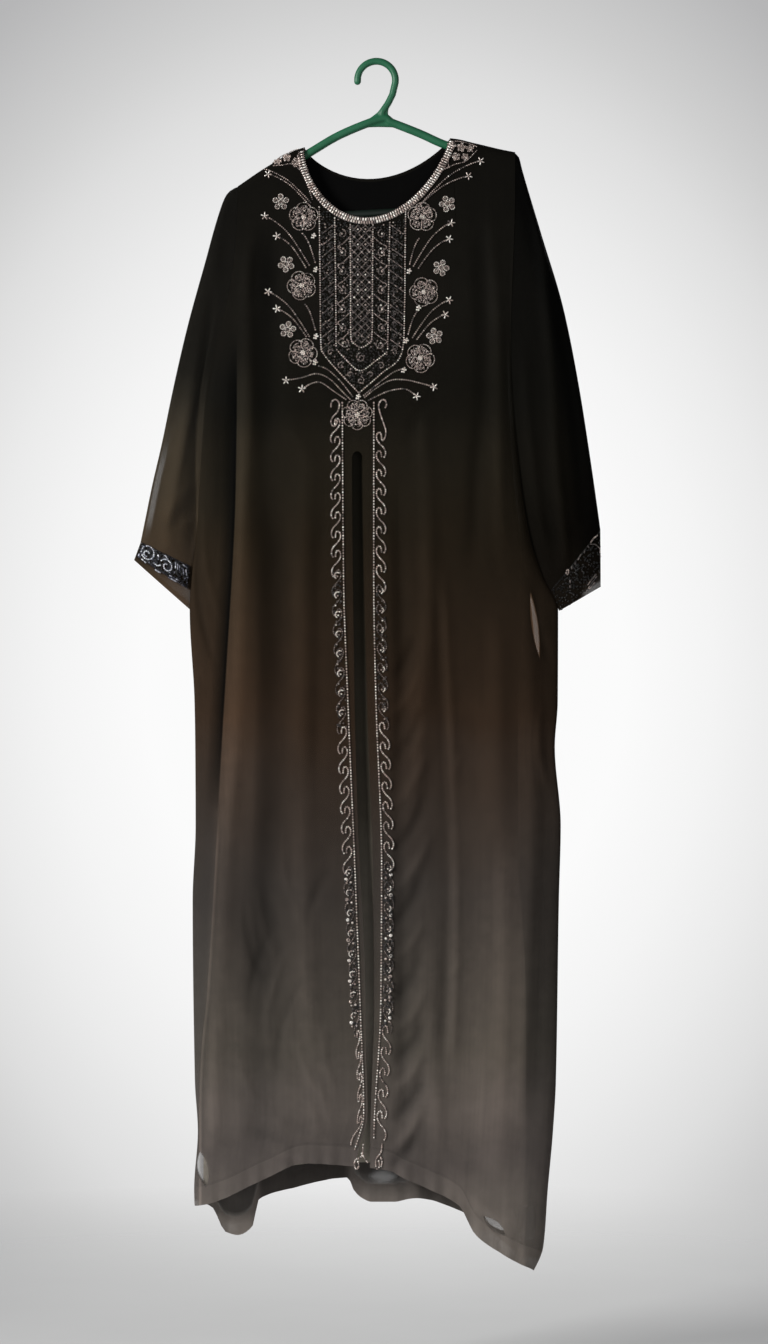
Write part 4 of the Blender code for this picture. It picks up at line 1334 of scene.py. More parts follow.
@dataclass
class Sleeve:
    """One sleeve and its cuff, joined to the edges of the body's panels."""

    cut: SleeveCut
    rings: int = 44
    cuff_rings: int = 12

    def sleeve_points(self, front: Array, back: Array, steps: Array) -> Array:
        """Points of the sleeve, a line for each place round it, from the armhole to the cuff.

        Args:
            front: The front panel's edge line.
            back: The back panel's edge line.
            steps: The source's row number of each of their rows.

        Returns:
            An array (line, ring, 3) in millimetres.
        """
        cut = self.cut
        outer, inner = np.array(cut.cuff_outer), np.array(cut.cuff_inner)
        length = math.dist(outer, inner)
        side = BODY_LEFT if cut.turn < 0 else BODY_RIGHT
        top_z, under_z = cut.fold.parts[0][-1], front[-1, 2]
        under = np.array([side.at(under_z) + cut.turn * UNDERARM_GAP, under_z])
        t = (np.linspace(0, 1, self.rings + 1) ** RING_POWER)[:, None]
        run = t[:, 0]
        fold_z, seam_z = mix(top_z, outer[1], t), mix(under_z, inner[1], t)
        fold = np.hstack([cut.fold.at(fold_z), fold_z])
        seam = np.hstack([side.at(seam_z) + cut.turn * UNDERARM_GAP, seam_z])
        fold_start = np.array([cut.fold.at(top_z), top_z])
        halves = []
        for face, body in ((FRONT, front), (BACK, back)):
            lines = []
            for row, step in enumerate(steps):
                spread = step / LAST_STEP
                gap = mix(ARMHOLE_GAP, UNDERARM_GAP, spread**8)
                start = np.array([body[row, 0] + cut.turn * gap, body[row, 2]])
                share = cuff_share(step, length)
                base = mix(start, mix(outer, inner, share), t)
                corners = mix(mix(fold_start, outer, t), mix(under, inner, t), spread)
                x, z = (base + mix(fold, seam, spread) - corners).T
                start_depth = 0.0 if row == 0 else max(abs(body[row, 1]) - TUCK, 0.25)
                full = SLEEVE_FULLNESS * np.sin(math.pi * run) * math.sin(math.pi * spread)
                depth = mix(start_depth, cuff_depth(step, share), ease(run)) + full
                window = ease(run * 5) * ease((1 - run) * 7 + 0.25) * ease(spread * 5) * ease((1 - spread) * 9)
                depth = np.maximum(depth + cut.folds_at(x, z) * window, np.minimum(depth, 0.8))
                lines.append(np.stack([x, face * depth, z], axis=-1))
            halves.append(lines)
        return np.array([*reversed(halves[0]), *halves[1][1:]])

    def cuff_points(self, sleeve: Array, steps: Array) -> Array:
        """Points of the cuff: the sleeve's last ring, carried on to the cuff's own edge.

        Args:
            sleeve: The sleeve's grid.
            steps: The source's row number of each line of one half.

        Returns:
            An array (line, ring, 3) in millimetres.
        """
        cut = self.cut
        length = math.dist(cut.cuff_outer, cut.cuff_inner)
        lines = []
        for line, step in zip(sleeve, [*reversed(steps), *steps[1:]]):
            edge = mix(np.array(cut.hem_outer), np.array(cut.hem_inner), cuff_share(step, length))
            start = line[-1, [0, 2]]
            gap = CUFF_GAP / math.dist(edge, start)
            x, z = mix(start, edge, np.linspace(gap, 1, self.cuff_rings + 1)[:, None]).T
            lines.append(np.stack([x, np.full(len(x), line[-1, 1]), z], axis=-1))
        return np.array(lines)

    def sleeve_paint(self) -> dict:
        """Paints the sleeve: painted light on the left one's lower part, painted shade on the right one, painted light
        and shade on the creases of both, and a clear strip beside the left one's outer fold.

        Returns:
            Its tone, with the painted light and shade, and how clear it is, by name.
        """
        x, z = self.points[..., 0], self.points[..., 2]
        if self.cut.turn < 0:
            inside = x - self.cut.fold.at(z)
            strip = ease((inside - 1.5) / 2) * ease((12 - inside) / 3)
            sheer = 0.32 * ease((z + 650) / 40) * ease((-480 - z) / 70) * strip + mix(0.0, 0.05, ease((-380 - z) / 120))
            # Painted light on the left sleeve's lower part, up to 3.45 times
            tone, shade = mix(1.0, 3.45, ease((-400 - z) / 110)), 0.018
        else:
            # Painted shade on the right sleeve, darkest by its outer fold and low down
            tone = mix(0.2, 0.5, ease((self.cut.fold.at(z) - x) / 26 - 0.5)) * mix(1, 0.6, ease((-520 - z) / 120))
            sheer, shade = np.full(z.shape, -0.1), 0.055
        # Painted light on the creases' ridges and painted shade in their troughs
        return {"sheer": sheer, "tone": tone * np.clip(1 + shade * self.cut.folds_at(x, z), 0.5, 1.6)}

    def cuff_paint(self) -> dict:
        """Paints the cuff, clearer in its hem.

        Returns:
            Its tone, hem and how clear it is, by name.
        """
        down = (np.arange(self.cuff_rings + 1) / self.cuff_rings)[None]
        share = np.abs(np.linspace(-1, 1, self.cuff.shape[0]))[:, None]
        hem = np.broadcast_to(np.minimum((1 - down) * 6, 2.0), self.cuff.shape[:2])
        if self.cut.turn < 0:
            below = ease((down - mix(0.5, 0.8, 1 - share)) / 0.06)
            return {"tone": 1 + below * mix(0.5, 4.0, share), "sheer": mix(0.08, 0.34, share) * below - 0.1, "hem": hem}
        strip = ease((down - 0.87) / 0.04) * ease((0.6 - share) / 0.1)
        grey = ease((down - 0.66) / 0.1) * ease((0.55 - share) / 0.15)
        return {"tone": 0.4 + grey * 0.8 + strip * 0.4, "sheer": 0.16 * grey + 0.42 * strip - 0.12, "hem": hem}

    def build(self, body: Body, chiffon: Material) -> list[Piece]:
        """Makes the sleeve and the cuff.

        Args:
            body: The finished body, for its panels' edges.
            chiffon: The chiffon's material.

        Returns:
            The sleeve's and the cuff's pieces.
        """
        steps, cut = body.rows.steps, self.cut
        edge = 0 if cut.turn < 0 else -1
        front, back = (panel[edge, : len(steps)].copy() for panel in (body.front, body.back))
        front[0, 1] = back[0, 1] = SHOULDER.at(front[0, 0]) - CLOTH / 2
        self.points = self.sleeve_points(front, back, steps)
        self.cuff = self.cuff_points(self.points, steps)
        sleeve, cuff = f"{cut.name}_sleeve", f"{cut.name}_cuff"
        cloths = (
            Cloth(f"{sleeve}_cloth", sleeve, "chiffon_sleeve", self.points, chiffon, (0.2, 0.56), cut.area),
            Cloth(f"{cuff}_cloth", cuff, "cuff", self.cuff, chiffon, (0.17, 0.05), cut.cuff_area),
        )
        cloths[0].paint, cloths[1].paint = self.sleeve_paint(), self.cuff_paint()
        return [cloth.build() for cloth in cloths]


class Form(Enum):
    """What a bead is: a round seed, a straight bar or a thin cupped disc."""

    SEED = "seed"
    BAR = "bar"
    DISC = "disc"


@dataclass(frozen=True)
class Strand:
    """Beads sewn along a line of (x, z) places, or one at each place where they are loose.

    The size is each bead's length along the line, its width and its height; the tone runs from black, 0, to
    bright silver, 1.
    """

    path: Array
    size: tuple[float, float, float] = (2.4, 2.4, 2.0)
    tone: float = 0.72
    pitch: float = 2.5
    form: Form = Form.SEED
    across: bool = False
    loose: bool = False

    def places(self) -> tuple[Array, Array]:
        """Where the beads lie and which way each one runs.

        Returns:
            Places and unit directions, (bead, 2) each.
        """
        path = np.atleast_2d(np.asarray(self.path, float))
        if self.loose or len(path) == 1:
            turns = np.arange(len(path)) * 2.4
            return path, np.stack([np.cos(turns), np.sin(turns)], axis=-1)
        along = np.concatenate([[0], np.cumsum(np.linalg.norm(np.diff(path, axis=0), axis=1))])
        count = max(round(along[-1] / self.pitch), 1)
        where = (np.arange(count) + 0.5) * along[-1] / count
        spots = [np.stack([np.interp(where + d, along, path[:, k]) for k in (0, 1)], axis=-1) for d in (-0.4, 0, 0.4)]
        run = spots[2] - spots[0]
        run /= np.maximum(np.linalg.norm(run, axis=1, keepdims=True), 1e-6)
        return spots[1], np.stack([-run[:, 1], run[:, 0]], axis=-1) if self.across else run


@dataclass(frozen=True)
class WallFace:
    """The outside of a body panel, by x and z."""

    wall: Wall
    outward: int = 1

    def lay(self, x: Array, z: Array) -> Array:
        """The points of the cloth at these places."""
        return np.stack([x, self.wall.depth_at(x, z + CLOTH / 2), z], axis=-1)


@dataclass(frozen=True)
class GridFace:
    """The outside of one half of a cuff, by millimetres from its outer fold and up from its top."""

    grid: Array
    turn: int
    outward: int

    def lay(self, x: Array, z: Array) -> Array:
        """The points of the cloth at these places.

        Args:
            x: Millimetres from the outer fold, with the turn's sign.
            z: Millimetres up from the top.

        Returns:
            The points, (place, 3).
        """
        edge = self.grid[:, 0]
        along = np.concatenate([[0], np.cumsum(np.linalg.norm(np.diff(edge[:, [0, 2]], axis=0), axis=1))])
        line = np.interp(x * self.turn, along, np.arange(len(edge)))
        depth = np.linalg.norm(self.grid[:, -1] - edge, axis=1)
        ring = np.clip(-z / np.interp(line, np.arange(len(edge)), depth), 0, 1) * (self.grid.shape[1] - 1)
        i = np.clip(line.astype(int), 0, len(edge) - 2)
        j = np.clip(ring.astype(int), 0, self.grid.shape[1] - 2)
        a, b = (line - i)[..., None], (ring - j)[..., None]
        low = mix(self.grid[i, j], self.grid[i + 1, j], a)
        return mix(low, mix(self.grid[i, j + 1], self.grid[i + 1, j + 1], a), b)


@dataclass(frozen=True)
class Beading:
    """Glass and metal beads: sRGB stops from black to bright silver by tone, roughness and metallic."""

    name: str
    stops: tuple
    roughness: float = 0.3
    metallic: float = 0.45

    def make(self) -> Material:
        """Makes the beads' finish.

        Returns:
            The material, with each bead's own tone and a slightly cloudy glaze.
        """
        shader = Shader(self.name)
        cloud = shader.noise(shader.place(), 240.0)
        tone = shader.math("ADD", shader.attribute("tone"), shader.span(cloud, 0.3, 0.7, -0.05, 0.05))
        shader.set(Base_Color=shader.ramp(tone, tuple((share, linear(rgb)) for share, rgb in self.stops)))
        shader.set(Roughness=self.roughness, Metallic=self.metallic, Coat_Weight=0.3, Coat_Roughness=0.15)
        return shader.material


NAVY = Beading(
    "navy_beads",
    ((0.0, (8, 8, 12)), (0.25, (30, 31, 42)), (0.5, (92, 94, 112)), (0.75, (176, 178, 190)), (1.0, (242, 244, 250))),
)
SILVER = Beading(
    "silver_beads",
    ((0.0, (8, 8, 9)), (0.2, (34, 33, 34)), (0.45, (104, 95, 92)), (0.75, (198, 178, 168)), (1.0, (250, 244, 236))),
)


class BeadBox:
    """Each bead form, modelled once and kept as points, corners and face starts, one unit long, wide and high."""

    def __init__(self) -> None:
        """Models the seed, the bar along X with rounded ends and the disc with a dished face."""
        lying = {"vertices": 6, "depth": 0.8, "rotation": (0, math.pi / 2, 0)}
        self.forms = {
            Form.SEED: self.seed(),
            Form.BAR: self.cylinder(2, {"thickness": 0.2, "depth": 0.1}, **lying),
            Form.DISC: self.cylinder(1, {"thickness": 0.22, "depth": -0.35}, vertices=8, depth=1.0),
        }

    def seed(self) -> tuple[Array, Array, Array]:
        """Models a round bead.

        Returns:
            Points, corners and face starts.
        """
        deselect()
        bpy.ops.mesh.primitive_uv_sphere_add(segments=6, ring_count=4, radius=0.5)
        return self.taken()

    def cylinder(self, ends: int, inset: dict, **sizes: object) -> tuple[Array, Array, Array]:
        """A cylinder with inset ends.

        Args:
            ends: 2 for both of them or 1 for the upper one.
            inset: The inset's thickness and depth.
            sizes: The cylinder's own sizes.

        Returns:
            Points, corners and face starts.
        """
        deselect()
        bpy.ops.mesh.primitive_cylinder_add(radius=0.5, **sizes)
        faces = bpy.context.object.data.polygons
        wanted = [len(face.vertices) > 4 and (ends > 1 or face.center.z > 0) for face in faces]
        edit_faces(wanted, bpy.ops.mesh.inset, **inset)
        return self.taken()

    @staticmethod
    def taken() -> tuple[Array, Array, Array]:
        """Takes the active object's mesh and removes the object.

        Returns:
            Points, corners and face starts.
        """
        piece = bpy.context.object
        bpy.ops.object.transform_apply(location=True, rotation=True, scale=True)
        mesh = piece.data
        points = np.array([point.co for point in mesh.vertices])
        corners = np.array([corner.vertex_index for corner in mesh.loops])
        starts = np.array([face.loop_start for face in mesh.polygons])
        bpy.data.objects.remove(piece)
        return points, corners, starts


NO_CLOTH = 1e-6
"""A slope under this, in each direction, means that a bead lies past the edge of its cloth, and it is left off."""


@dataclass
class Beadwork:
    """Strands of beads sewn on one face of the cloth and joined in one piece."""

    name: str
    slot: str
    faces: tuple
    strands: list[Strand]
    box: BeadBox
    finish: Material
    nodes: tuple[str, ...] = ()
    seed: int = 7
    lift: float = SHELL / 2

    def frames(self, face: WallFace | GridFace, spots: Array, run: Array) -> tuple[Array, Array, Array, Array]:
        """Where beads lie on the cloth and which way they are turned.

        Args:
            face: The cloth that they are sewn on.
            spots: Their (x, z) places.
            run: The way each one runs, in the same plane.

        Returns:
            Places on the cloth and unit directions along, aside and out of the cloth, (bead, 3) each.
        """
        x, z, step = spots[:, 0], spots[:, 1], 0.7
        rise = (face.lay(x, z + step) - face.lay(x, z - step)) / (2 * step)
        reach = (face.lay(x + step, z) - face.lay(x - step, z)) / (2 * step)
        normal = np.cross(reach, rise) * face.outward
        normal /= np.maximum(np.linalg.norm(normal, axis=1, keepdims=True), NO_CLOTH)
        along = reach * run[:, :1] + rise * run[:, 1:]
        along /= np.maximum(np.linalg.norm(along, axis=1, keepdims=True), NO_CLOTH)
        return face.lay(x, z), along, np.cross(normal, along), normal

    def beads_on(self, face: WallFace | GridFace, draw: np.random.Generator) -> list[tuple[Form, Array, Array]]:
        """Points and tones of all the beads on one face, by their form.

        Args:
            face: The cloth that they are sewn on.
            draw: The source of small differences.

        Returns:
            For each form its points, (bead, point, 3), and tones, (bead,).
        """
        laid = [strand.places() for strand in self.strands]
        counts = [len(spots) for spots, _ in laid]
        spots, runs = (np.concatenate(part) for part in zip(*laid))
        places = self.frames(face, spots, runs)
        size = np.repeat([strand.size for strand in self.strands], counts, axis=0)
        size = size * draw.uniform(0.9, 1.08, size.shape)
        tone = np.repeat([strand.tone for strand in self.strands], counts)
        tone = np.clip(tone + draw.normal(0, 1, len(tone)) * (0.03 + 0.16 * tone), 0, 1)
        kinds = np.repeat([list(Form).index(strand.form) for strand in self.strands], counts)
        tilt = draw.normal(0, 0.14, (len(tone), 2))
        held = np.linalg.norm(places[3], axis=1) > 0.5
        made = []
        for number, form in enumerate(Form):
            mine = held & (kinds == number)
            spot, along, side, normal = (part[mine][:, None] for part in places)
            body = self.box.forms[form][0][None] * size[mine][:, None]
            leaning = normal + along * tilt[mine][:, None, :1] + side * tilt[mine][:, None, 1:]
            centre = spot + normal * (self.lift + size[mine][:, None, 2:] * 0.42)
            points = centre + body[..., :1] * along + body[..., 1:2] * side + body[..., 2:] * leaning
            made.append((form, points, tone[mine]))
        return made

    def build(self) -> Piece:
        """Joins copies of the bead forms in one mesh.

        Returns:
            The finished piece.
        """
        draw = np.random.default_rng(self.seed)
        points, tones, corners, starts = [], [], [], []
        placed = used = 0
        for form, beads, tone in (group for face in self.faces for group in self.beads_on(face, draw)):
            _, form_corners, form_starts = self.box.forms[form]
            count, size = beads.shape[:2]
            copies = np.arange(count)[:, None]
            points.append(beads.reshape(-1, 3))
            tones.append(np.repeat(tone, size))
            corners.append((form_corners + copies * size + placed).ravel())
            starts.append((form_starts + copies * len(form_corners) + used).ravel())
            placed += count * size
            used += count * len(form_corners)
        starts = np.concatenate(starts).astype(np.int32)
        mesh = bpy.data.meshes.new(self.name)
        mesh.vertices.add(placed)
        mesh.vertices.foreach_set("co", (np.concatenate(points) * MM).astype(np.float32).ravel())
        mesh.loops.add(used)
        mesh.loops.foreach_set("vertex_index", np.concatenate(corners).astype(np.int32))
        mesh.polygons.add(len(starts))
        mesh.polygons.foreach_set("loop_start", starts)
        mesh.polygons.foreach_set("use_smooth", np.ones(len(starts), bool))
        mesh.update(calc_edges=True)
        layer = mesh.attributes.new("tone", "FLOAT", "POINT")
        layer.data.foreach_set("value", np.concatenate(tones).astype(np.float32))
        piece = bpy.data.objects.new(self.name, mesh)
        bpy.context.scene.collection.objects.link(piece)
        return finish(piece, self.finish, self.slot, *self.nodes)


def ring(x: float, z: float, radius: float, start: float = 0, end: float = 360) -> Array:
    """Places on a circle or an arc of it, from one angle to another."""
    turns = np.radians(np.linspace(start, end, max(int(abs(end - start) / 12), 4)))
    return np.stack([x + radius * np.cos(turns), z + radius * np.sin(turns)], axis=-1)


def curl(x: float, z: float, radius: float, start: float, turns: float) -> Array:
    """Places on a spiral that winds inwards.

    Args:
        x: Its centre across.
        z: Its centre height.
        radius: Its outer radius.
        start: The angle where it starts, in degrees.
        turns: How often it winds round, anticlockwise where this is positive.

    Returns:
        The places, (x, z) each.
    """
    share = np.linspace(0, 1, 30)
    angle = np.radians(start) + share * turns * 2 * math.pi
    size = radius * (1 - 0.78 * share)
    return np.stack([x + size * np.cos(angle), z + size * np.sin(angle)], axis=-1)


def toward(angle: float) -> Array:
    """The unit step at an angle, X and Z."""
    return np.array([math.cos(angle), math.sin(angle)])


# Lines of each cuff, their beads' size and tone, and the ends of its bars, by millimetres from the fold and the top
BOLD = (2.6, 2.5, 2.3)
LEFT_CUFF_LINES = (
    (ring(14, -9, 8.6), BOLD, 0.86),
    (curl(42, -15, 9.4, 160, -1.25), BOLD, 0.9),
    (((24, -18), (30, -20), (34, -17)), BOLD, 0.84),
    (ring(13, -11, 3.6, 20, 300), BOLD, 0.9),
)
RIGHT_CUFF_LINES = (
    (ring(72, -3, 2.6), BOLD, 0.55),
    (((22, -2), (15, -1.4), (6.5, -4)), BOLD, 0.66),
    (((22, -4), (12, -12), (3, -24), (1.5, -38)), (2.0, 1.8, 1.6), 0.42),
)
LEFT_CUFF_BARS = (
    (36, -2, 41, -4), (38, -4, 44, -6), (53, -4, 54, -13), (56, -5, 57, -13), (59, -6, 60, -14), (63, -3, 70, -5),
    (64, -8, 66, -16), (68, -8, 70, -15), (47, -25, 60, -26), (46, -28, 57, -29), (4, -14, 4, -20), (8, -20, 16, -23),
    (28, -26, 36, -27), (22, -6, 24, -12), (27, -5, 30, -9),
)
RIGHT_CUFF_BARS = (
    (34, -2, 37, -6), (42, -1.5, 50, -4), (70, -15, 71, -19), (72, -21, 73, -24), (28, -2, 26, -6), (54, -3, 57, -6),
    (62, -2, 64, -6), (12, -52, 34, -50), (10, -56, 38, -55), (16, -60, 31, -58),
)
# Centre, radius, first angle and turns of each curl in the yoke's point and corners
YOKE_CURLS = (
    (-20.9, -397, 6.8, 90, 1.3), (-21.5, -428, 5.4, 90, -1.2), (-43, -378, 6.2, 60, -1.3), (5, -380, 6.2, 120, 1.3),
    (-48, -408, 5, 40, 1.1), (6, -408, 5, 140, -1.1), (-36, -420, 4.4, 0, 1.0), (-8, -420, 4.4, 180, -1.0),
    (-62, -390, 4.4, 30, 1.0), (24, -390, 4.4, 150, -1.0),
)
# Height of one unit of the border's scroll at each height, the drawn unit's own height and where the scroll ends
SCROLL_REPEATS = Curve(((-480, 24.6), (-540, 25.4), (-770, 26.4), (-1080, 27), (-1300, 28.2), (-1490, 29.7)))
SCROLL_HEIGHT = 24.7
SCROLL_END = -1428
# By side: where the scroll starts and where the bead line ends
SCROLL_TOPS = {-1: -479.5, 1: -498.5}
BEAD_LINE_ENDS = {-1: -1462, 1: -1446}
# Where the scroll is black, and the height under which it has discs
DARK_STRETCHES = ((-878, -682), (-1278, -1060))
SPANGLED = -1060


BIG_FLOWERS = ((-97.9, -207.2), (-100.6, -299.7), (-99.2, -390.3), (61.4, -207.2), (64.1, -308.5), (58.7, -397.6))
SMALL_FLOWERS = ((-128.9, -187), (-121.5, -270.7), (-119.5, -359.1), (95.6, -189.7), (86.8, -276.1), (78.3, -368.3))
FOOT_FLOWER = (-25.9, -473.9)
# Tip, root and whether a star ends it
SPRAYS = (
    (-145.9, -149.2, -89.8, -192.4, 1), (-151.9, -142.4, -87.9, -188.7, 0), (-106.0, -141.1, -85.9, -184.8, 0),
    (-150.5, -205.9, -89.8, -273.4, 1), (-133.9, -232.9, -94.6, -276.5, 1), (-100.6, -228.8, -82.1, -269.7, 0),
    (-145.9, -307.8, -89.8, -369.6, 1), (-133.9, -330.9, -93.8, -369.6, 1), (-96.8, -324.7, -81.9, -360.7, 0),
    (140.3, -131.6, 58.7, -191.0, 1), (124.1, -151.9, 56.0, -193.7, 1), (99.2, -139.7, 50.6, -185.6, 0),
    (100.6, -215.3, 49.3, -274.7, 1), (97.9, -236.9, 56.0, -277.4, 1), (58.3, -235.6, 44.6, -272.0, 0),
    (97.9, -319.3, 47.9, -371.2, 1), (92.5, -339.1, 53.9, -373.3, 1), (56.8, -332.8, 42.3, -366.5, 0),
)
LOW_SPRAYS = (
    (((-121.6, -427.7), (-101.0, -424.2), (-80.7, -418.8), (-62.8, -425.9), (-44.8, -443.9), (-34.7, -454.0)), 1),
    (((-100.3, -439.2), (-86.4, -431.6), (-74.0, -430.9), (-58.3, -441.7), (-40.2, -454.0)), 1),
    (((-78.6, -408.0), (-65.1, -413.5), (-47.0, -430.4), (-31.3, -450.6)), 0),
    (((77.4, -436.5), (58.7, -431.3), (37.8, -426.9), (18.2, -428.0), (-2.0, -439.4), (-16.9, -451.6)), 1),
    (((53.9, -448.9), (42.5, -440.8), (31.7, -439.2), (12.8, -443.5), (-11.5, -455.0)), 1),
    (((34.4, -412.4), (22.3, -417.2), (3.4, -431.3), (-18.2, -448.9)), 0),
)
BRIGHT_PLACES = (
    (-81.3, -278.2), (-81.3, -368.4), (-82.1, -403.5), (44.3, -280.5), (56.8, -330.3), (40.2, -374.2), (37.1, -413.8),
    (-24.2, -449.7), (-84.4, -232.9),
)
YOKE_LEFT_EDGE = ((-77.1, -192.4), (-75.9, -290.9), (-74.9, -374.6), (-70.9, -392.2), (-49.3, -417.8), (-23.6, -444.8))
YOKE_RIGHT_EDGE = ((39.3, -195.8), (38.5, -263.9), (37.8, -327.4), (33.5, -392.2), (7.4, -417.8), (-23.6, -444.8))
YOKE_LINES = (
    YOKE_LEFT_EDGE, YOKE_RIGHT_EDGE, ((-56.4, -207.2), (-54.9, -304.4), (-54.3, -382.7)),
    ((18.0, -213.3), (16.3, -304.4), (15.0, -386.8)),
    ((-54.3, -385.4), (-41.2, -399.6), (-22.3, -414.6), (-2.0, -402.3), (15.0, -388.8)),
    (
        (-35.4, -216.3), (-34.9, -300), (-34.4, -367.9), (-29, -378.7), (-20.9, -383.4), (-11.5, -378.7),
        (-6.1, -367.9), (-5.4, -300), (-4.7, -216.3),
    ),
)
SHOULDER_ROSES = (
    (-133.0, -132.3, 6.2), (-120.8, -126.9, 6.5), (-108.1, -133.7, 7.3), (101.9, -110.0, 6.2), (114.1, -113.4, 6.8),
    (126.2, -114.8, 5.9), (107.3, -125.6, 6.5), (119.5, -126.2, 5.4),
)
SHOULDER_LINES = (
    ((-140.4, -135.0), (-128.9, -124.2), (-114.1, -118.1), (-104.6, -115.4)),
    ((-139.7, -138.4), (-126.2, -137.0), (-114.1, -135.7), (-103.3, -142.4)),
    ((-104.6, -118.1), (-104.0, -131.6), (-103.3, -143.8)),
    ((97.9, -106.0), (110.0, -105.3), (123.5, -108.0), (135.7, -112.7)),
    ((97.9, -139.7), (107.3, -135.7), (120.8, -131.6), (135.7, -116.8)),
    ((95.9, -107.3), (95.9, -122.2), (97.2, -139.7)),
)
LEFT_SQUEEZE = Curve(((-1500, 0.5), (-1340, 0.5), (-1260, 0.75), (-1120, 1)))
LEFT_FOOT = (
    (
        (-17.8, -1453), (-18.5, -1466), (-22.5, -1472), (-27.8, -1474), (-29.8, -1481), (-27, -1487), (-23.6, -1483),
        (-25, -1476),
    ),
    ((-20.4, -1465), (-16, -1472), (-11.5, -1478.5)),
)
RIGHT_FOOT = (
    ((7.6, -1452), (6.8, -1462), (3.6, -1468), (0.4, -1472), (-1, -1480), (0.9, -1487), (4.2, -1482), (2.6, -1475)),
    ((5.4, -1470), (7.6, -1476), (6, -1484)),
)
LEFT_HEAD = (
    (-61.1, -464.2), (-60.5, -457.4), (-56, -453.5), (-51, -456.3), (-49.8, -461.9), (-52.1, -469.8), (-58.3, -476.6),
    (-61.1, -483.3), (-58.8, -489.5), (-54.9, -488.4), (-52.7, -483.3), (-54.3, -481),
)
RIGHT_HEAD = (
    (11.5, -465.3), (13.7, -459.7), (10.9, -454.1), (5.8, -455.2), (3, -461.9), (5.3, -473.2), (9.2, -484.4),
    (12.6, -495.7), (12, -503.6), (8.6, -509.2), (7, -506.9),
)
# One unit of the border's running scroll: out from the bead line and down from the hook's top
SCROLL_UNIT = (
    (10.5, 8.2), (9.8, 2.3), (7.5, -0.5), (4.5, 1.5), (3.5, 5.2), (4.5, 9.8), (8.2, 15.0), (12.8, 19.5), (15.5, 24.8),
    (15.5, 30.0), (13.1, 33.5),
)


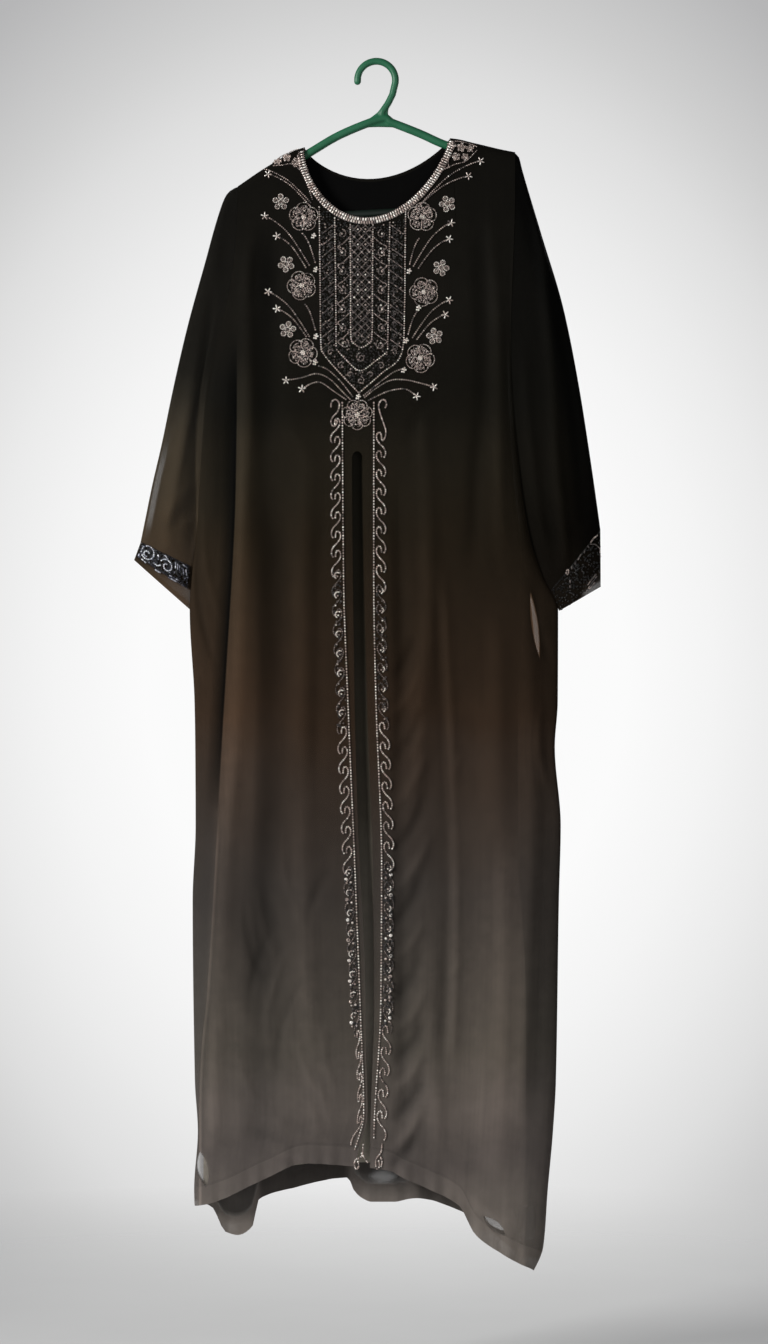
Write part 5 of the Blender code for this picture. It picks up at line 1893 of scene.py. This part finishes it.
@dataclass
class Embroidery:
    """All the beadwork: neck band, yoke, flowers and sprays, borders and cuffs."""

    fine: tuple[float, float, float] = (1.9, 1.9, 1.6)
    cord: tuple[float, float, float] = (2.4, 2.6, 2.1)
    spray: tuple[float, float, float] = (2.4, 2.3, 2.0)
    petals: int = 5
    flower_radius: float = 19.5
    rose_radius: float = 11.5
    foot_flower: tuple[float, float, int] = (20.5, -90, 7)
    lattice_box: tuple[float, ...] = (-35, -5, -219, -372)
    curl_heights: tuple[float, ...] = (-236, -372, -25.5)
    bar_heights: tuple[float, ...] = (-224, -384, -15.5)
    seed_pitch: float = 3.7
    seed_margin: float = 12

    def neck(self) -> list[Strand]:
        """Lays out the neck band: upright bars between rows of seeds.

        Returns:
            The strands.
        """
        turns = np.linspace(1.5, 178.5, 160)
        edge, out = (np.array([find(FRONT, turn) for turn in turns]) for find in (neck_point, neck_outward))
        upright = (3.5, Form.BAR, True)
        rows = (
            (3.2, (4.2, 2.5, 2.7), 0.88, *upright), (7.4, (4.2, 2.5, 2.7), 0.84, *upright),
            (5.2, (1.8, 1.6, 1.6), 0.4, 2.6), (0.8, (1.8, 1.7, 1.7), 0.55, 2.9), (9.4, (1.8, 1.7, 1.7), 0.5, 2.9),
        )
        return [Strand(edge + out * step - (0, CLOTH / 2), *look) for step, *look in rows]

    def flower(self, x: float, z: float, radius: float, turn: float, petals: int = 5) -> list[Strand]:
        """A flower of outlined petals filled with small beads, with fine ribs and a bright centre.

        Args:
            x: Its centre across.
            z: Its centre height.
            radius: Its size.
            turn: The angle of its first petal, in degrees.
            petals: How many petals it has.

        Returns:
            The strands.
        """
        centre = np.array([x, z])
        angles = np.radians(np.linspace(0, 360, 91))
        lobes = np.abs(np.cos((angles - math.radians(turn)) * petals / 2)) ** 0.55
        rim = radius * (0.77 + 0.23 * lobes)
        outline = centre + rim[:, None] * np.stack([np.cos(angles), np.sin(angles)], axis=-1)
        made = [Strand(outline, (1.7, 1.6, 1.5), 0.76, 2.1)]
        for k in range(petals):
            angle = math.radians(turn + 360 / petals * (k + 0.5))
            rib = centre + np.array([[0.22], [0.8]]) * radius * toward(angle)
            made.append(Strand(rib, (2.0, 1.3, 1.5), 0.6, 2.0, Form.BAR))
            middle = centre + 0.55 * radius * toward(angle - math.pi / petals)
            made.append(Strand(curl(*middle, radius * 0.26, turn, 1.4), (1.7, 1.6, 1.4), 0.66, 2.3))
        draw = np.random.default_rng(int(abs(x * 7 + z)))
        spots = draw.uniform(-1, 1, (int(radius * 17), 2)) * radius
        spots = spots[np.linalg.norm(spots, axis=1) < 0.82 * radius] + centre
        made.append(Strand(spots[::2], (1.9, 1.8, 1.4), 0.74, loose=True))
        made.append(Strand(spots[1::2], (1.8, 1.8, 1.3), 0.46, loose=True))
        made.append(Strand(ring(x, z, radius * 0.13), (2.4, 2.4, 2.2), 0.95, 2.4))
        return made + [Strand([(x, z)], (3.0, 3.0, 3.0), 1.0)]

    def rose(self, x: float, z: float, radius: float, turn: float, tone: float = 0.92) -> list[Strand]:
        """A small flower of little rings of beads, five round one.

        Args:
            x: Its centre across.
            z: Its centre height.
            radius: Its size.
            turn: The angle of its first ring, in degrees.
            tone: How bright its rings are.

        Returns:
            The strands.
        """
        made = []
        for k in range(self.petals + 1):
            reach = radius * 0.66 if k < self.petals else 0.0
            middle = reach * toward(math.radians(turn + 360 / self.petals * k)) + (x, z)
            made.append(Strand(ring(*middle, radius * 0.27), (2.1, 1.9, 2.0), tone, 2.2))
            made.append(Strand(ring(*middle, radius * 0.1), (1.6, 1.5, 1.4), 0.7, 2.2))
        return made

    @staticmethod
    def star(x: float, z: float) -> list[Strand]:
        """A little star of short bars, turned by its own place.

        Args:
            x: Its centre across.
            z: Its centre height.

        Returns:
            The strands.
        """
        made = [Strand([(x, z)], (2.4, 2.4, 2.4), 1.0)]
        for k in range(5):
            way = toward(x + k * 1.2566)
            made.append(Strand(np.array([way * 1.2, way * 5.6]) + (x, z), (4.2, 1.7, 1.8), 0.95, 4.4, Form.BAR))
        return made

    def flowers(self) -> list[Strand]:
        """Lays out the flowers, sprays, stars and bright clusters round the yoke and on the shoulders.

        Returns:
            The strands.
        """
        made = []
        for k, (x, z) in enumerate(BIG_FLOWERS):
            made += self.flower(x, z, self.flower_radius, 18 + 23 * k)
        made += self.flower(*FOOT_FLOWER, *self.foot_flower)
        for k, (x, z) in enumerate(SMALL_FLOWERS):
            made += self.rose(x, z, self.rose_radius, 90 + 31 * k)
        bow = ((0.0, 0.0), (0.2, 0.09), (0.5, 0.32), (0.77, 0.66), (1.0, 1.0))
        sprays = [([(mix(ax, bx, a), mix(az, bz, b)) for a, b in bow], starred) for ax, az, bx, bz, starred in SPRAYS]
        for line, starred in (*sprays, *LOW_SPRAYS):
            made.append(Strand(rounded(line, 8), self.spray, 0.6, 2.9))
            made += self.star(*line[0]) if starred else []
        cluster = np.array([(2.1, 0.2), (-1.9, 1.2), (-0.2, -2.5), (0.6, 2.8), (-2.6, -2.2), (0.1, 0.1)])
        made += [Strand(cluster + place, (3.1, 2.8, 2.6), 1.0, loose=True) for place in BRIGHT_PLACES]
        for x, z, radius in SHOULDER_ROSES:
            made += self.rose(x, z, radius * 0.9, x * 7, 0.66)
        return made + [Strand(rounded(line, 8), self.fine, 0.6, 2.1) for line in SHOULDER_LINES]

    def yoke(self) -> list[Strand]:
        """Lays out the yoke: its lines, the lattice, the scrolls and the bars beside it, and the point below.

        Returns:
            The strands.
        """
        made = [Strand(rounded(line, 8), (2.6, 2.2, 2.1), 0.84, 3.2) for line in YOKE_LINES]
        made += self.lattice(*self.lattice_box)
        for side, inner, outer in ((-1, -35, -55), (1, -5, 17)):
            middle = (inner + outer) / 2
            near, far = middle + side * 1.5, outer - side * 3
            for z in np.arange(*self.curl_heights):
                made.append(Strand(curl(near, z + 6, 6.2, 90, 1.1 * side), self.fine, 0.55, 2.0))
                sweep = ((inner + side * 1.5, z + 1), (middle, z - 7), (far, z - 12), (middle, z - 18.5))
                made.append(Strand(rounded(sweep, 6), self.fine, 0.62, 2.0))
                made.append(Strand([(near, z + 6), (middle, z - 14)], (3, 3, 2.2), 0.9, loose=True))
        for side, inner, outer in ((-1, -56, -75), (1, 17, 38)):
            for z in np.arange(*self.bar_heights):
                made.append(Strand([(outer - side * 1.5, z - 6.5), (inner + side * 1.5, z + 6.5)], self.fine, 0.5, 2.0))
                made.append(Strand(curl((inner + outer) / 2 - side * 3, z - 5, 3.4, 0, side), self.fine, 0.38, 1.9))
                dots = ((0.25, 2), (0.55, 0), (0.3, 8), (0.8, 10))
                spots = [(mix(inner, outer, share), z - rise) for share, rise in dots]
                made.append(Strand(spots, (2.9, 2.9, 2.3), 0.22, loose=True))
        return made + [Strand(curl(*sizes), self.fine, 0.58, 2.0) for sizes in YOKE_CURLS]

    @staticmethod
    def lattice(left: float, right: float, top: float, foot: float) -> list[Strand]:
        """Crossing diagonals between two uprights, with bright beads in the upper cells.

        Args:
            left: The left upright.
            right: The right upright.
            top: The lattice's top.
            foot: Its foot.

        Returns:
            The strands.
        """
        made = []
        wide, pitch = right - left, 10.2
        for k in range(-3, int((top - foot) / pitch) + 1):
            for fall, rise in ((wide, 0), (0, wide)):
                ends = np.array([(left, top - k * pitch - fall), (right, top - k * pitch - rise)])
                line = ends[0] + np.linspace(0, 1, 20)[:, None] * (ends[1] - ends[0])
                line = line[(line[:, 1] < top + 2) & (line[:, 1] > foot - 6)]
                if len(line) > 3:
                    made.append(Strand(line, (1.8, 1.7, 1.5), 0.5, 1.9))
        for k, z in enumerate(np.arange(top - 5, foot + 40, -pitch)):
            spots = [(x, z) for x in np.arange(left + (5 if k % 2 else 10), right - 2, pitch)]
            made.append(Strand(spots, (2.8, 2.8, 2.4), 0.88, loose=True))
        return made

    def ground(self) -> list[Strand]:
        """Fills the yoke with black seeds.

        Returns:
            The strands.
        """
        draw = np.random.default_rng(3)
        left, right = (Curve(tuple((z, x) for x, z in edge)) for edge in (YOKE_LEFT_EDGE, YOKE_RIGHT_EDGE))
        spots = []
        for z in np.arange(-200, -440, -self.seed_pitch):
            for x in np.arange(left.at(z) + 2.5, right.at(z) - 2, self.seed_pitch):
                turn = math.degrees(math.acos(np.clip((x - NECK_CENTRE) / NECK_HALF_WIDTH, -1, 1)))
                if z < neck_point(FRONT, turn)[1] - self.seed_margin:
                    spots.append((x, z))
        spots = np.array(spots) + draw.normal(0, 0.9, (len(spots), 2))
        kind = draw.random(len(spots))
        return self.sorted_spots(spots, kind, (2.2, 2.2, 1.6), ((0.6, 0.05), (0.85, 0.2), (1.0, 0.55)))

    @staticmethod
    def sorted_spots(spots: Array, kind: Array, size: tuple, tones: tuple) -> list[Strand]:
        """Loose beads in several tones.

        Args:
            spots: Their places.
            kind: A number from 0 to 1 for each.
            size: Their size.
            tones: (end of its range of numbers, tone) rows.

        Returns:
            A strand for each tone.
        """
        lows = (0, *(high for high, _ in tones))
        return [
            Strand(spots[(kind >= low) & (kind < high)], size, tone, loose=True)
            for low, (high, tone) in zip(lows, tones)
        ]

    def border(self, line: Curve, side: int) -> list[Strand]:
        """One border: its bead line and the running scroll outside it, silver and black by turns.

        Args:
            line: The bead line.
            side: -1 for the left border and 1 for the right.

        Returns:
            The strands.
        """
        left = side < 0
        draw = np.random.default_rng(11 + side)
        z = np.linspace(SETTLED, BEAD_LINE_ENDS[side], 260)
        made = [Strand(np.stack([line.at(z), z], axis=-1), (3.1, 2.5, 2.6), 0.86, 3.9)]
        made.append(Strand(rounded(LEFT_HEAD if left else RIGHT_HEAD, 6), self.cord, 0.7, 2.1))
        made += [Strand(rounded(path, 6), self.cord, 0.74, 2.1) for path in (LEFT_FOOT if left else RIGHT_FOOT)]
        top = SCROLL_TOPS[side]
        while top > SCROLL_END:
            repeat = float(SCROLL_REPEATS.at(top))
            dark, spangled = any(low < top < high for low, high in DARK_STRETCHES), top < SPANGLED
            size, tone = ((2.0, 1.9, 1.8), 0.5) if dark else (self.cord, 0.76)
            path = rounded(SCROLL_UNIT, 6) * (1, repeat / SCROLL_HEIGHT)
            z = top - path[:, 1]
            out = path[:, 0] * (LEFT_SQUEEZE.at(z) if left else 1.0)
            made.append(Strand(np.stack([line.at(z) + side * out, z], axis=-1), size, tone, 2.5))
            if dark:
                made += self.dark_fill(line, side, top, repeat / SCROLL_HEIGHT, spangled, draw)
            top -= repeat
        return made

    @staticmethod
    def dark_fill(
        line: Curve, side: int, top: float, scale: float, spangled: bool, draw: np.random.Generator
    ) -> list[Strand]:
        """Black beads round one dark unit, with a bright crescent or a bright disc in its curl.

        Args:
            line: The bead line.
            side: -1 for the left border and 1 for the right.
            top: The unit's top.
            scale: Its height beside the drawn unit's.
            spangled: Whether it has the disc.
            draw: The source of the beads' places.

        Returns:
            The strands.
        """
        count = (27 if side > 0 else 15) if spangled else 9
        out = draw.uniform(2.2, 15.5, count) * (LEFT_SQUEEZE.at(top) if side < 0 else 1.0)
        down = draw.uniform(0, 25, count) * scale
        spots = np.stack([line.at(top - down) + side * out, top - down], axis=-1)
        looks = (((2.9, 2.9, 2.3), 0.3), ((2.9, 2.9, 2.3), 0.1), ((2.6, 2.6, 2.3), 0.16))
        made = [Strand(spots[k::3], *look, loose=True) for k, look in enumerate(looks)]
        x, z = line.at(top - 6) + side * 8.2, top - 7 * scale
        made.append(Strand(ring(x, z, 4.2, 50, 250 if side < 0 else -70), (2.5, 2.2, 2.2), 0.95, 2.1))
        made.append(Strand([(x, z - 1), (x + side * 3, z - 14)], (2.6, 2.6, 2.3), 0.8, loose=True))
        if spangled:
            made.append(Strand([(x + side * 4, z - 9)], (4.8, 4.8, 1.5), 1.0, form=Form.DISC))
            made.append(Strand([(x - side * 2.5, z - 13)], (3.6, 3.6, 2.2), 0.85))
        return made

    def cuff(self, cut: SleeveCut) -> list[Strand]:
        """The cuff's band: black beads, bright lines and bars, and its edge rows.

        Args:
            cut: The sleeve's cut, for the cuff's size and side.

        Returns:
            The strands, by millimetres from the fold and up from the cuff's top.
        """
        draw = np.random.default_rng(29)
        turn, left = -cut.turn, cut.turn < 0
        wide = math.dist(cut.cuff_outer, cut.cuff_inner)
        first, last = math.dist(cut.cuff_outer, cut.hem_outer), math.dist(cut.cuff_inner, cut.hem_inner)
        spots = draw.uniform((2, 0.04), (wide - 2, 0.74), (620 if left else 240, 2))
        spots[:, 1] *= -mix(first, last, spots[:, 0] / wide * 0.55)
        tones = ((0.84, 0.02), (0.96, 0.16), (1, 0.5)) if left else ((0.97, 0.0), (1, 0.2))
        made = self.sorted_spots(spots * (turn, 1), draw.random(len(spots)), (2.4, 2.4, 1.6), tones)
        for line, size, tone in LEFT_CUFF_LINES if left else RIGHT_CUFF_LINES:
            made.append(Strand(np.array(line) * (turn, 1), size, tone, 2.3))
        for ax, az, bx, bz in LEFT_CUFF_BARS if left else RIGHT_CUFF_BARS:
            bar = np.array([(ax, az), (bx, bz)]) * (turn, 1)
            made.append(Strand(bar, (4.2, 1.8, 1.8), 0.72 if left else 0.4, 4.4, Form.BAR))
        for share, tone in ((0.03, 0.22), (0.76, 0.3)) if left else ((0.03, 0.1),):
            edge = np.array([(x, -share * mix(first, last, x / wide * 0.55)) for x in np.linspace(1.5, wide - 1, 12)])
            made.append(Strand(edge * (turn, 1), self.fine, tone, 2.2))
        return made

    def build(self, sleeves: list[Sleeve]) -> list[Piece]:
        """Sews all the beads on.

        Args:
            sleeves: The finished sleeves, for their cuffs.

        Returns:
            The beadwork's pieces.
        """
        box, silver, navy = BeadBox(), SILVER.make(), NAVY.make()
        bright, dark, front = "silver_beading", "dark_beading", (WallFace(FRONT_WALL),)
        works = [
            Beadwork("neck_beads", bright, front, self.neck(), box, silver, ("neck_band",)),
            Beadwork("yoke_scrolls", dark, front, self.yoke(), box, silver, ("yoke_beading",)),
            Beadwork("yoke_ground", dark, front, self.ground(), box, silver),
            Beadwork("flower_beads", bright, front, self.flowers(), box, silver),
        ]
        for name, line, side in (("left_border", LEFT_BEADS, -1), ("right_border", RIGHT_BEADS, 1)):
            works.append(Beadwork(f"{name}_beads", bright, front, self.border(line, side), box, silver, (name,)))
        for sleeve in sleeves:
            half, turn = len(sleeve.cuff) // 2, -sleeve.cut.turn
            faces = (GridFace(sleeve.cuff[half::-1], turn, 1), GridFace(sleeve.cuff[half:], turn, -1))
            name, beads = f"{sleeve.cut.name}_cuff_beads", navy if turn > 0 else silver
            works.append(Beadwork(name, dark, faces, self.cuff(sleeve.cut), box, beads))
        return [work.build() for work in works]


@dataclass(frozen=True)
class Plastic:
    """Moulded plastic: its sRGB colour and roughness."""

    name: str
    rgb: tuple[int, int, int]
    roughness: float

    def make(self) -> Material:
        """Makes the moulding's finish.

        Returns:
            The material, with cloudy colour, a fine uneven skin and painted shade on its low part, inside the dress.
        """
        shader = Shader(self.name)
        place = shader.place()
        pale = linear(tuple(min(c + 14, 255) for c in self.rgb))
        # Painted shade below 140 mm down, where the dress covers the hanger
        painted_shade = shader.span(shader.node("SeparateXYZ", {0: place}).outputs[2], -0.17, -0.14, 0.06, 1.0)
        colour = shader.ramp(shader.noise(place, 30.0, 3.0), ((0.35, linear(self.rgb)), (0.7, pale)))
        skin = shader.bump(shader.noise(place, 420.0), 0.05, 0.0004)
        shader.set(Base_Color=shader.shaded(colour, painted_shade, painted_shade, painted_shade))
        shader.set(Roughness=self.roughness, Normal=skin, Specular_IOR_Level=0.5)
        return shader.material


@dataclass
class Hanger:
    """The green hanger: arms and bar in one loop, and the hook with its web."""

    hook_radius: float = 25.6
    hook_thickness: float = 8.8
    tip_angle: float = 184
    last_angle: float = -18
    arm_drop: float = 11
    voxel: float = 1.0
    fullness: float = 0.45
    web_thickness: float = 4.6
    web_outline: tuple = (
        (-46, -95), (-34, -88.5), (-14.5, -85), (4, -84.4), (24, -85), (37, -87.5), (50, -92), (30, -80), (17.2, -74),
        (15.4, -68), (16.4, -57), (8, -57), (1, -65), (-16, -78),
    )

    def loop(self) -> list:
        """Lays out the arms and the bar.

        Returns:
            Their stations, X and Z.
        """
        under = [(x, float(SHOULDER.at(x)) - self.arm_drop) for x in (-96, -130, 150, 98)]
        return [
            (6, -73.6), (-49, -95), *under[:2], (-163, -160), (-181, -177), (-181, -200), (-163, -210.3),
            (-60, -204.5), (60, -197.8), (161, -192.1), (182, -179), (185, -153), (174, -129), *under[2:],
            (58.7, -93.4), (22, -79),
        ]

    def hook(self) -> Array:
        """Lays out the hook, from its free end into the arms.

        Returns:
            Its centre line, X and Z.
        """
        turns = np.radians(np.linspace(self.tip_angle, self.last_angle, 28))
        arc = np.stack([np.cos(turns), np.sin(turns)], axis=-1) * self.hook_radius
        arc[:, 1] += self.hook_thickness / 2 - self.hook_radius
        return np.vstack([arc, [(21.5, -41), (15.5, -53), (8.5, -63), (5.5, -77)]])

    @staticmethod
    def curved(name: str, places: Array, closed: bool, **settings: object) -> Piece:
        """A mesh made from a curve.

        Args:
            name: The object's name.
            places: The curve's own X, Y and Z rows in millimetres.
            closed: Whether it is a loop.
            settings: The curve's settings.

        Returns:
            The mesh object.
        """
        curve = bpy.data.curves.new(name, "CURVE")
        for key, value in settings.items():
            setattr(curve, key, value)
        spline = curve.splines.new("POLY")
        spline.points.add(len(places) - 1)
        for point, (x, y, z) in zip(spline.points, places):
            point.co = (x * MM, y * MM, z * MM, 1)
        spline.use_cyclic_u = closed
        piece = bpy.data.objects.new(name, curve)
        piece.rotation_euler.x = math.pi / 2 if curve.dimensions == "2D" else 0
        bpy.context.scene.collection.objects.link(piece)
        make_active(piece)
        bpy.ops.object.convert(target="MESH")
        return bpy.context.object

    def rod(self, name: str, path: Array, radius: float, closed: bool) -> Piece:
        """A round rod along a path in the XZ plane, with all its sizes in millimetres."""
        round_rod = {"dimensions": "3D", "bevel_depth": radius * MM, "bevel_resolution": 4, "use_fill_caps": True}
        return self.curved(name, [(x, 0, z) for x, z in path], closed, **round_rod)

    def build(self) -> Piece:
        """Joins the loop, the hook, its round tip and the web, and fuses them as one moulding.

        Returns:
            The hanger's piece.
        """
        hook = self.hook()
        thick = self.hook_thickness / 2 + self.fullness
        parts = [
            self.rod("arms", rounded(self.loop(), 7, True), ARM_RADIUS + self.fullness / 2, True),
            self.rod("hook", hook, thick, False),
        ]
        deselect()
        tip = (hook[0, 0] * MM, 0, hook[0, 1] * MM)
        bpy.ops.mesh.primitive_uv_sphere_add(segments=24, ring_count=16, radius=thick * MM, location=tip)
        parts.append(bpy.context.object)
        flat = {"dimensions": "2D", "fill_mode": "BOTH", "extrude": self.web_thickness / 2 * MM}
        parts.append(self.curved("web", [(x, z, 0) for x, z in self.web_outline], True, **flat))
        deselect()
        for part in parts:
            part.select_set(True)
        bpy.context.view_layer.objects.active = parts[0]
        bpy.ops.object.join()
        piece = bpy.context.object
        bpy.ops.object.transform_apply(location=True, rotation=True, scale=True)
        piece.name = piece.data.name = "green_hanger"
        fuse = piece.modifiers.new("fuse", "REMESH")
        fuse.mode = "VOXEL"
        fuse.voxel_size = self.voxel * MM
        smooth = piece.modifiers.new("smooth", "SMOOTH")
        smooth.factor = 0.5
        smooth.iterations = 8
        apply_modifiers(piece)
        bpy.ops.object.shade_smooth()
        plastic = Plastic("green_plastic", (24, 92, 60), 0.46)
        return finish(piece, plastic.make(), plastic.name, "hanger")


def rounded(stations: Array, steps: int, closed: bool = False) -> Array:
    """Points on the Catmull-Rom curve through stations.

    Args:
        stations: Rows of coordinates.
        steps: Points to each stretch.
        closed: Whether the last station joins the first.

    Returns:
        The curve's points.
    """
    stations, count = np.asarray(stations, float), len(stations)
    made = []
    for i in range(count if closed else count - 1):
        ids = [(i + k) % count if closed else min(max(i + k, 0), count - 1) for k in (-1, 0, 1, 2)]
        before, start, end, after = stations[ids]
        for t in np.arange(steps) / steps:
            square = 2 * before - 5 * start + 4 * end - after
            cube = 3 * start - before - 3 * end + after
            made.append(0.5 * (2 * start + (end - before) * t + square * t * t + cube * t**3))
    return np.array(made if closed else [*made, stations[-1]])


@dataclass
class Studio:
    """Camera, pale floor, lights and backdrop light, in metres, watts and shares of white."""

    distance: float = 5.0
    centre: tuple[float, float] = (0.0101, -0.8201)
    height: float = 1.8144
    sensor: float = 36
    floor: float = -1.80
    aim: tuple[float, float, float] = (0, 0, -0.8)
    lights: tuple = (
        ("key", (-2.9, -2.3, 0.3), 1.1, 150), ("fill", (1.6, -3.4, -0.4), 2.0, 14), ("back", (1.8, 2.8, -0.9), 1.8, 45),
    )
    backdrop: tuple = (
        (0, (251, 251, 251)), (0.22, (244, 244, 244)), (0.4, (235, 235, 235)), (0.59, (222, 222, 222)),
        (0.74, (207, 207, 207)), (1, (182, 182, 183)),
    )

    def build(self) -> None:
        """Sets the camera, lights, floor and surrounding light."""
        camera = bpy.data.cameras.new("camera")
        camera.sensor_width = self.sensor
        camera.lens = self.sensor * self.distance / self.height
        camera.clip_end = 60
        holder = self.held("camera", camera, (self.centre[0], -self.distance, self.centre[1]))
        holder.rotation_euler = (math.pi / 2, 0, 0)
        bpy.context.scene.camera = holder
        for name, place, size, power in self.lights:
            lamp = bpy.data.lights.new(name, "AREA")
            lamp.size, lamp.energy = size, power
            turn = (Vector(self.aim) - Vector(place)).to_track_quat("-Z", "Y")
            self.held(name, lamp, place).rotation_euler = turn.to_euler()
        self.ground()
        self.surround()
        bpy.context.scene.view_settings.view_transform = "Standard"

    @staticmethod
    def held(name: str, data: bpy.types.ID, place: tuple) -> Piece:
        """A new object at a place.

        Args:
            name: Its name.
            data: The camera or the lamp that it holds.
            place: Its place.

        Returns:
            The object.
        """
        holder = bpy.data.objects.new(name, data)
        holder.location = place
        bpy.context.scene.collection.objects.link(holder)
        return holder

    def ground(self) -> None:
        """A pale floor that fades into the backdrop."""
        deselect()
        bpy.ops.mesh.primitive_circle_add(vertices=96, radius=2.2, fill_type="NGON", location=(0, 0, self.floor))
        floor = bpy.context.object
        floor.name = "floor"
        shader = Shader("pale_floor")
        place = shader.place()
        shades = ((0.3, (0.80, 0.80, 0.79)), (0.7, (0.84, 0.84, 0.83)))
        shader.set(Base_Color=shader.ramp(shader.noise(place, 3.0), shades), Roughness=0.9, Specular_IOR_Level=0.1)
        shader.set(Alpha=shader.span(shader.vector("LENGTH", place), 0.25, 2.1, 0.9, 0.0))
        floor.data.materials.append(shader.material)

    def surround(self) -> None:
        """Pale light from all round: bright behind the dress, greyer towards the corners."""
        world = bpy.data.worlds.new("surround")
        world.use_nodes = True
        nodes = Nodes(world.node_tree)
        nodes.tree.nodes.clear()
        way = nodes.node("TexCoord").outputs["Generated"]
        behind = nodes.vector("SUBTRACT", way, (0.0, 1.0, 0.0))
        away = nodes.vector("LENGTH", nodes.vector("MULTIPLY", behind, (1.25, 1.0, 1.0)))
        greys = tuple((share, linear(rgb)) for share, rgb in self.backdrop)
        seen = nodes.node("Background", {0: nodes.ramp(nodes.span(away, 0.081, 0.216), greys)}).outputs[0]
        soft = nodes.node("Background", {0: (0.95, 0.97, 1.0, 1), 1: 0.16}).outputs[0]
        watched = nodes.node("LightPath").outputs["Is Camera Ray"]
        both = nodes.node("MixShader", {0: watched, 1: soft, 2: seen}).outputs[0]
        nodes.node("OutputWorld", {0: both})
        bpy.context.scene.world = world


def main() -> None:
    """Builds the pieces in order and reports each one."""
    logging.basicConfig(level=logging.INFO, format="%(message)s")
    body = Body()
    made = body.build()
    sleeves = [Sleeve(LEFT_CUT), Sleeve(RIGHT_CUT)]
    for sleeve in sleeves:
        made += sleeve.build(body, made[0].data.materials[0])
    made += Embroidery().build(sleeves)
    made.append(Hanger().build())
    for piece in made:
        layer = sum(face.area for face in piece.data.polygons) / 2
        LOG.info("%s: %d faces, %.4f square metres a layer", piece.name, len(piece.data.polygons), layer)
    Studio().build()


if __name__ == "__main__":
    main()
